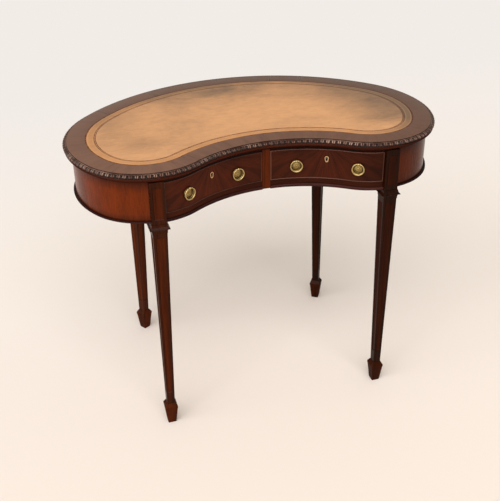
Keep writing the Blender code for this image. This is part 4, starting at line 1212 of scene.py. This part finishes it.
def pear(head, tail, fall, steps=20):
    """A round head over a smaller round tail, joined by straight sides, as (along, height) points."""
    middle = DRAWER_TOP - KEYHOLE_DOWN
    lean = math.asin((head - tail) / fall)
    points = [(head * math.cos(turn), middle + head * math.sin(turn)) for turn in spread(-lean, HALF + lean, steps)]
    for turn in spread(HALF + lean, WHOLE - lean, steps // 2):
        points.append((tail * math.cos(turn), middle - fall + tail * math.sin(turn)))
    return points


def front_loop(side, inset, out):
    """Points round the edge of a drawer front, along the bottom and back along the top."""
    along = front_line(side, DRAWER_GAP + inset, FACE + out)
    low = [(*point, DRAWER_FOOT + inset) for point in along]
    return low + [(*point, DRAWER_TOP - inset) for point in reversed(along)]


def front_grain(side, loops):
    """The grain map of a drawer front: from the keyhole along the face, and up from its foot."""

    def grain(row, column):
        x, _, height = loops[row][column % len(loops[row])]
        xs = spread(LOCK_X, side * x, 8)
        length = distances([(value, curve_y(FACE, value)) for value in xs])[-1]
        return math.copysign(length, side * x - LOCK_X), height - DRAWER_FOOT

    return grain


class DESK_OT_drawer_fronts(bpy.types.Operator):
    """Make the drawer fronts with their beads and keyholes"""

    bl_idname = "desk.drawer_fronts"
    bl_label = "Drawer fronts"

    def execute(self, context):
        brass = context.scene.desk_brass
        flame = flame_material(context.scene.desk_wood)
        lining = brass_material("keyhole brass", brass.lining, brass.aged, 0.3)
        for side, hand in SIDES:
            body = f"drawer_{hand}"
            # Painted sheen: the right drawer's bead is lighter than the left's.
            bead_wood = wood(
                f"bead wood {hand}", *BEAD_PAINTED_LIGHT_COLOURS[hand], BEAD_GRAIN, roughness=0.25, coat=0.3, gloss=0.1
            )
            rebate, step = BEAD_THICKNESS + GAP, -BEAD_DEPTH - GAP
            levels = ((rebate, 0.0), (rebate, step), (0.0, step), (0.0, -FRONT_THICKNESS))
            loops = [front_loop(side, inset, out) for inset, out in levels]
            front = skin(f"flame_front_{hand}", loops, [flame], strips=True, grain=front_grain(side, loops))
            recess = (LOCK_DEPTHS[0] - GAP, FRONT_THICKNESS + MM)
            seat = pear(ESCUTCHEON[0] + GAP, ESCUTCHEON[1] + GAP, ESCUTCHEON[2])
            carve(front, [
                lock_block(side, LOCK_WIDTH + 2 * GAP, recess, DRAWER_TOP - LOCK_HEIGHT - GAP, DRAWER_TOP + MM),
                lock_cutter(side, pear(*KEYHOLE), -MM, LOCK_DEPTHS[0] + GAP),
                lock_cutter(side, seat, -MM, ESCUTCHEON_THICKNESS + GAP),
            ])
            fit(front, body, "drawer_veneer", f"drawer_front_{hand}")

            half = BEAD_THICKNESS / 2
            nose = [(half * (1 + math.cos(turn)), BEAD_PROUD * math.sin(turn)) for turn in spread(HALF, 0.0, 8)]
            nose = [(0.0, -BEAD_DEPTH), (0.0, 0.0), *nose[1:-1], (BEAD_THICKNESS, 0.0), (BEAD_THICKNESS, -BEAD_DEPTH)]
            rows = [list(row) for row in zip(*[front_loop(side, inset, out) for inset, out in nose])]
            bead = skin(f"round_bead_{hand}", rows, [bead_wood], ring=True, smooth=50.0)
            fit(bead, body, "drawer_veneer", f"cockbead_{hand}")

            stations = []
            for outer, inner in zip(pear(*ESCUTCHEON), pear(*KEYHOLE)):
                middle = ((outer[0] + inner[0]) / 2, (outer[1] + inner[1]) / 2)
                corners = (
                    (outer, 0.0), (outer, ESCUTCHEON_THICKNESS), (inner, ESCUTCHEON_THICKNESS), (inner, 0.0),
                    (middle, -ESCUTCHEON_PROUD),
                )
                stations.append([on_face(side * LOCK_X, *point, depth) for point, depth in corners])
            thread = skin(f"keyhole_lining_{hand}", stations, [lining], ring=True)
            fit(thread, body, "brass", f"escutcheon_{hand}")
        return {"FINISHED"}


# Ring pulls

# Radius and height in millimetres, from the plate's rim to the foot of its boss
PLATE_RINGS = (
    (15.5, 0.0), (15.5, 0.9), (15.2, 1.5), (14.6, 1.85), (13.9, 1.85), (13.4, 1.5), (13.1, 1.0), (12.4, 0.7),
    (10.6, 0.7), (9.9, 0.95), (9.7, 1.4),
)
BOSS_RADII = (9.4, 8.4, 7.0, 5.4, 3.6, 3.0)
BUTTON_RINGS = ((2.9, 3.1), (2.5, 3.5), (1.5, 3.85), (0.3, 3.95))
PLATE_GROOVE_ROWS = (5, 6, 7, 8, 9)
HINGE_RISE = math.sqrt(RING_RADIUS**2 - HINGE_HALF**2)


def turned(name, rings, materials, steps=56, slot_of=None, smooth=30.0, rise=0.0):
    """Circles from (radius, height) pairs, round +Z or round a line that lies rise towards +Y."""
    turns = [WHOLE * k / steps for k in range(steps)]
    rows = [[(radius * math.cos(t), rise + radius * math.sin(t), height) for t in turns] for radius, height in rings]
    return skin(name, rows, materials, slot_of=slot_of, smooth=smooth)


def dome_height(radius):
    """Height of the boss over the plate's seat."""
    return 1.3 * MM + 1.3 * MM * math.cos(QUARTER * min(1.0, radius / (BOSS_RADII[0] * MM)))


def petal():
    """A raised petal that points along +X from near the middle of a rosette."""
    start, end, half, rise = 3.1 * MM, 8.7 * MM, 1.75 * MM, 1.0 * MM
    rows = []
    for share in spread(0.0, 1.0, 6):
        x = start + (end - start) * share
        wide = half * (0.42 + 0.58 * math.sin(HALF * min(1.0, 0.18 + 0.72 * share)))
        if share == 1.0:
            wide *= 0.45
        swell = math.sin(HALF * min(0.97, 0.10 + 0.87 * share))
        row = []
        for across in (-1.0, -0.55, 0.0, 0.55, 1.0):
            lift = rise * (1.0 - across**2) ** 0.6 * (1.0 - 0.55 * math.exp(-((across / 0.3) ** 2)))
            row.append((x, across * wide, dome_height(x) - 0.3 * MM + (lift + 0.25 * MM) * swell))
        rows.append(row + [(x, y, dome_height(x) - 0.7 * MM) for _, y, _ in reversed(row)])
    return skin("petal", rows, [], smooth=60.0)


def plate_mesh(name, materials):
    """The turned plate, its boss and the button in the middle."""
    rings = [(radius * MM, height * MM) for radius, height in PLATE_RINGS]
    rings += [(radius * MM, dome_height(radius * MM)) for radius in BOSS_RADII]
    rings += [(radius * MM, height * MM) for radius, height in BUTTON_RINGS]
    return turned(name, rings, materials, slot_of=lambda row, _: 2 if row in PLATE_GROOVE_ROWS else 1)


def knob_mesh(material):
    """The round knob at the top of the plate that carries the ring."""
    shank, ball = 1.7 * MM, 3.5 * MM
    rings = [(shank, 0.6 * MM)]
    for share in spread(0.16, 0.97, 12):
        radius = max(shank if share < 0.2 else 0.0, ball * math.sin(HALF * share))
        rings.append((radius, RING_STANDOFF - ball * math.cos(HALF * share)))
    return turned("knob", rings, [material], steps=28, smooth=45.0, rise=HINGE_RISE)


def ring_mesh(name, wire, material):
    """The hanging ring, a little thicker at its foot, with its straight pin through the knob."""
    gap_turn = math.asin(HINGE_HALF / RING_RADIUS)
    rows = []
    for turn in spread(gap_turn, WHOLE - gap_turn, 72):
        thick = wire * (1.0 + 0.12 * (1.0 - math.cos(turn)) / 2)
        row = []
        for k in range(16):
            around = WHOLE * k / 16
            radius = RING_RADIUS + thick * math.cos(around)
            x, y = radius * math.sin(turn), radius * math.cos(turn)
            if turn in (gap_turn, WHOLE - gap_turn):
                x, y = RING_RADIUS * math.sin(turn), HINGE_RISE + wire * math.cos(around)
            row.append((x, y, RING_STANDOFF + thick * math.sin(around)))
        rows.append(row)
    return skin(name, rows, [material], ring=True, smooth=60.0)


def face_matrix(x, height, out):
    """Carries a flat piece, +X along the face and +Z out of it, to its place on the drawer."""
    normal = face_normal(x)
    turned_to = Matrix((Vector((-normal.y, normal.x, 0.0)), UP, normal.to_3d())).transposed()
    return Matrix.Translation(on_face(x, 0.0, height, -out)) @ turned_to.to_4x4()


def plate_seat(x):
    """How far the back of a flat plate stands off the face that curves under it."""
    hollow = WAIST_RADIUS - FACE
    return GAP + (hollow - math.sqrt(hollow**2 - PLATE_RADIUS**2) if in_waist(FACE, x) else 0.0)


class DESK_OT_ring_pulls(bpy.types.Operator):
    """Make the rosette plates and their hanging rings"""

    bl_idname = "desk.ring_pulls"
    bl_label = "Ring pulls"

    def execute(self, context):
        settings = context.scene.desk_brass
        bright = brass_material("rubbed brass", settings.bright, settings.aged, 0.18)
        aged = brass_material("aged brass", settings.aged, settings.tarnish, 0.22, 1400.0)
        tarnish = brass_material("tarnished brass", settings.tarnish, (0.03, 0.02, 0.01), 0.5)
        height = DRAWER_FOOT + PULL_RISE_SHARE * (DRAWER_TOP - DRAWER_FOOT)
        tree = modifier_tree("rosette", rosette, Petal="Object", Petals="Int", Material="Material")
        shape = petal()
        for side, hand in SIDES:
            for spot, x in PULL_PLACES:
                to_face = face_matrix(side * x, height, plate_seat(x))
                name = f"rosette_plate_{spot}_{hand}"
                plate = plate_mesh(name, [bright, aged, tarnish])
                add_tree(plate, tree, {"Petal": shape, "Petals": settings.petal_count, "Material": aged})
                plate = join(name, [settled(plate), knob_mesh(bright)])
                plate.data.transform(to_face)
                fit(plate, f"drawer_{hand}", "brass", f"pull_plate_{spot}_{hand}")
                ring = ring_mesh(f"hanging_ring_{spot}_{hand}", settings.wire, bright)
                ring.data.transform(to_face)
                fit(ring, f"ring_{spot}_{hand}", "brass", f"pull_ring_{spot}_{hand}")
        drop(shape)
        return {"FINISHED"}


class DESK_OT_inner_woodwork(bpy.types.Operator):
    """Finish the board, runners, drawer boxes and locks that show when a drawer is open or from below"""

    bl_idname = "desk.inner_woodwork"
    bl_label = "Inner woodwork and locks"

    def execute(self, context):
        woods, brass = context.scene.desk_wood, context.scene.desk_brass

        def lining(name, along):
            grain = [[long if axis == along else wide for axis in "XYZ"] for long, wide in ((11.0, 420.0), (2.0, 34.0))]
            return wood(name, woods.lining_dark, woods.lining_light, grain, mapped=False, roughness=0.55, coat=0.0)

        lengthwise, across = lining("lining wood front to back", "Y"), lining("lining wood side to side", "X")
        finish_node("top_board", lining("board wood", "X"))
        steel = steel_material()
        bolt_brass = brass_material("bolt brass", brass.aged, brass.tarnish, 0.3)
        finishes = {
            "inner_runner": lengthwise, "outer_runner": lengthwise, "drawer_side_inner": lengthwise,
            "drawer_side_outer": lengthwise, "drawer_stop": across, "drawer_back": across,
            "drawer_bottom": across, "lock_case": steel, "lock_bolt": bolt_brass,
        }
        for _, hand in SIDES:
            for stem, material in finishes.items():
                finish_node(f"{stem}_{hand}", material)
        return {"FINISHED"}


# The studio

CAMERA_PLACE = (-0.5784, -2.0232, 1.5750)
CAMERA_YAW = math.radians(16.171)
CAMERA_DOWN = math.radians(30.498)
CAMERA_ROLL = math.radians(-0.843)
CAMERA_FOCAL_PIXELS = 836.6
PICTURE_LONG_SIDE = 501
FLOOR_REACH = 14.0
ROOM_COLOUR = screen(255, 246, 234)


def seen_directly(tree):
    """1 for what the eye, a polished surface or glass sees of the surroundings, 0 for the light they give."""
    camera, glossy, through = read(
        tree, "ShaderNodeLightPath", ("Is Camera Ray", "Is Glossy Ray", "Is Transmission Ray")
    )
    return camera.maths("MAXIMUM", glossy.maths("MAXIMUM", through))


def floor_material(settings):
    """A pale floor that turns into the bright backdrop behind the desk."""
    material, place, _ = new_material("studio floor")
    back = place.parts()[1]
    set_shader(material, back.remap(-0.6, 1.8).mix(settings.floor, settings.backdrop), 0.7)
    tree = material.node_tree
    shader = Value(tree, tree.nodes["Principled BSDF"].outputs["BSDF"])
    glow = read(tree, "ShaderNodeEmission", "Emission", {"Color": (*settings.backdrop, 1.0), "Strength": 1.0})
    share = seen_directly(tree) * back.remap(0.9, 2.4)
    mixed = read(tree, "ShaderNodeMixShader", "Shader", {0: share, 1: shader, 2: glow})
    tree.links.new(mixed.socket, tree.nodes["Material Output"].inputs["Surface"])
    return material


def lamp(name, direction, spread_degrees, strength):
    """A distant soft light that shines along a direction."""
    data = bpy.data.lights.new(name, "SUN")
    data.energy = strength
    data.angle = math.radians(spread_degrees)
    add_object(name, data).rotation_euler = Vector(direction).to_track_quat("-Z", "Y").to_euler()


class DESK_OT_studio(bpy.types.Operator):
    """Set the floor, lamps and camera"""

    bl_idname = "desk.studio"
    bl_label = "Studio"

    def execute(self, context):
        settings = context.scene.desk_studio
        scene = context.scene
        scene.view_settings.view_transform = "Standard"

        data = bpy.data.cameras.new("camera")
        data.sensor_width = 36.0
        data.lens = CAMERA_FOCAL_PIXELS * data.sensor_width / PICTURE_LONG_SIDE
        camera = add_object("camera", data)
        ahead = Vector((*(math.cos(CAMERA_DOWN) * heading(CAMERA_YAW)), -math.sin(CAMERA_DOWN)))
        level = Vector((math.cos(CAMERA_YAW), -math.sin(CAMERA_YAW), 0.0))
        upwards = level.cross(ahead)
        right = level * math.cos(CAMERA_ROLL) + upwards * math.sin(CAMERA_ROLL)
        top = -level * math.sin(CAMERA_ROLL) + upwards * math.cos(CAMERA_ROLL)
        camera.matrix_world = Matrix.Translation(CAMERA_PLACE) @ Matrix((right, top, -ahead)).transposed().to_4x4()
        scene.camera = camera

        mesh = bpy.data.meshes.new("studio_floor")
        corners = [(u * FLOOR_REACH, v * FLOOR_REACH, 0.0) for u, v in ((-1, -1), (1, -1), (1, 1), (-1, 1))]
        mesh.from_pydata(corners, [], [(0, 1, 2, 3)])
        mesh.materials.append(floor_material(settings))
        floor = add_object("studio_floor", mesh)

        lamp("window light", (0.24, 0.74, -0.69), 64.0, settings.window)
        lamp("side light", (0.90, 0.25, -0.35), 50.0, settings.side)

        world = bpy.data.worlds.new("room light")
        world.use_nodes = True
        background = world.node_tree.nodes["Background"]
        background.inputs["Color"].default_value = (*ROOM_COLOUR, 1.0)
        strength = seen_directly(world.node_tree).remap(0.0, 1.0, settings.room, settings.seen_room)
        world.node_tree.links.new(strength.socket, background.inputs["Strength"])
        scene.world = world
        return {"FINISHED"}


PIECES = (
    DESK_OT_studio, DESK_OT_crossbanding, DESK_OT_leather, DESK_OT_carved_edge, DESK_OT_under_moulding,
    DESK_OT_friezes, DESK_OT_front_frame, DESK_OT_legs, DESK_OT_drawer_fronts, DESK_OT_ring_pulls,
    DESK_OT_inner_woodwork,
)
SETTINGS = (
    ("desk_top", DeskTopSettings), ("desk_wood", DeskWoodSettings), ("desk_brass", DeskBrassSettings),
    ("desk_studio", DeskStudioSettings),
)


class DESK_PT_panel(bpy.types.Panel):
    """Lists the pieces of the desk and their settings"""

    bl_idname = "DESK_PT_panel"
    bl_label = "Kidney Shaped Desk"
    bl_space_type = "VIEW_3D"
    bl_region_type = "UI"
    bl_category = "Desk"

    def draw(self, context):
        for piece in PIECES:
            self.layout.operator(piece.bl_idname)
        for name, group in SETTINGS:
            box = self.layout.box()
            for key in group.__annotations__:
                box.prop(getattr(context.scene, name), key)


def register():
    for name, group in SETTINGS:
        bpy.utils.register_class(group)
        setattr(bpy.types.Scene, name, PointerProperty(type=group))
    for piece in PIECES:
        bpy.utils.register_class(piece)
    bpy.utils.register_class(DESK_PT_panel)


def unregister():
    bpy.utils.unregister_class(DESK_PT_panel)
    for piece in reversed(PIECES):
        bpy.utils.unregister_class(piece)
    for name, group in reversed(SETTINGS):
        delattr(bpy.types.Scene, name)
        bpy.utils.unregister_class(group)


def main():
    register()
    for piece in PIECES:
        area, name = piece.bl_idname.split(".")
        getattr(getattr(bpy.ops, area), name)()


if __name__ == "__main__":
    main()
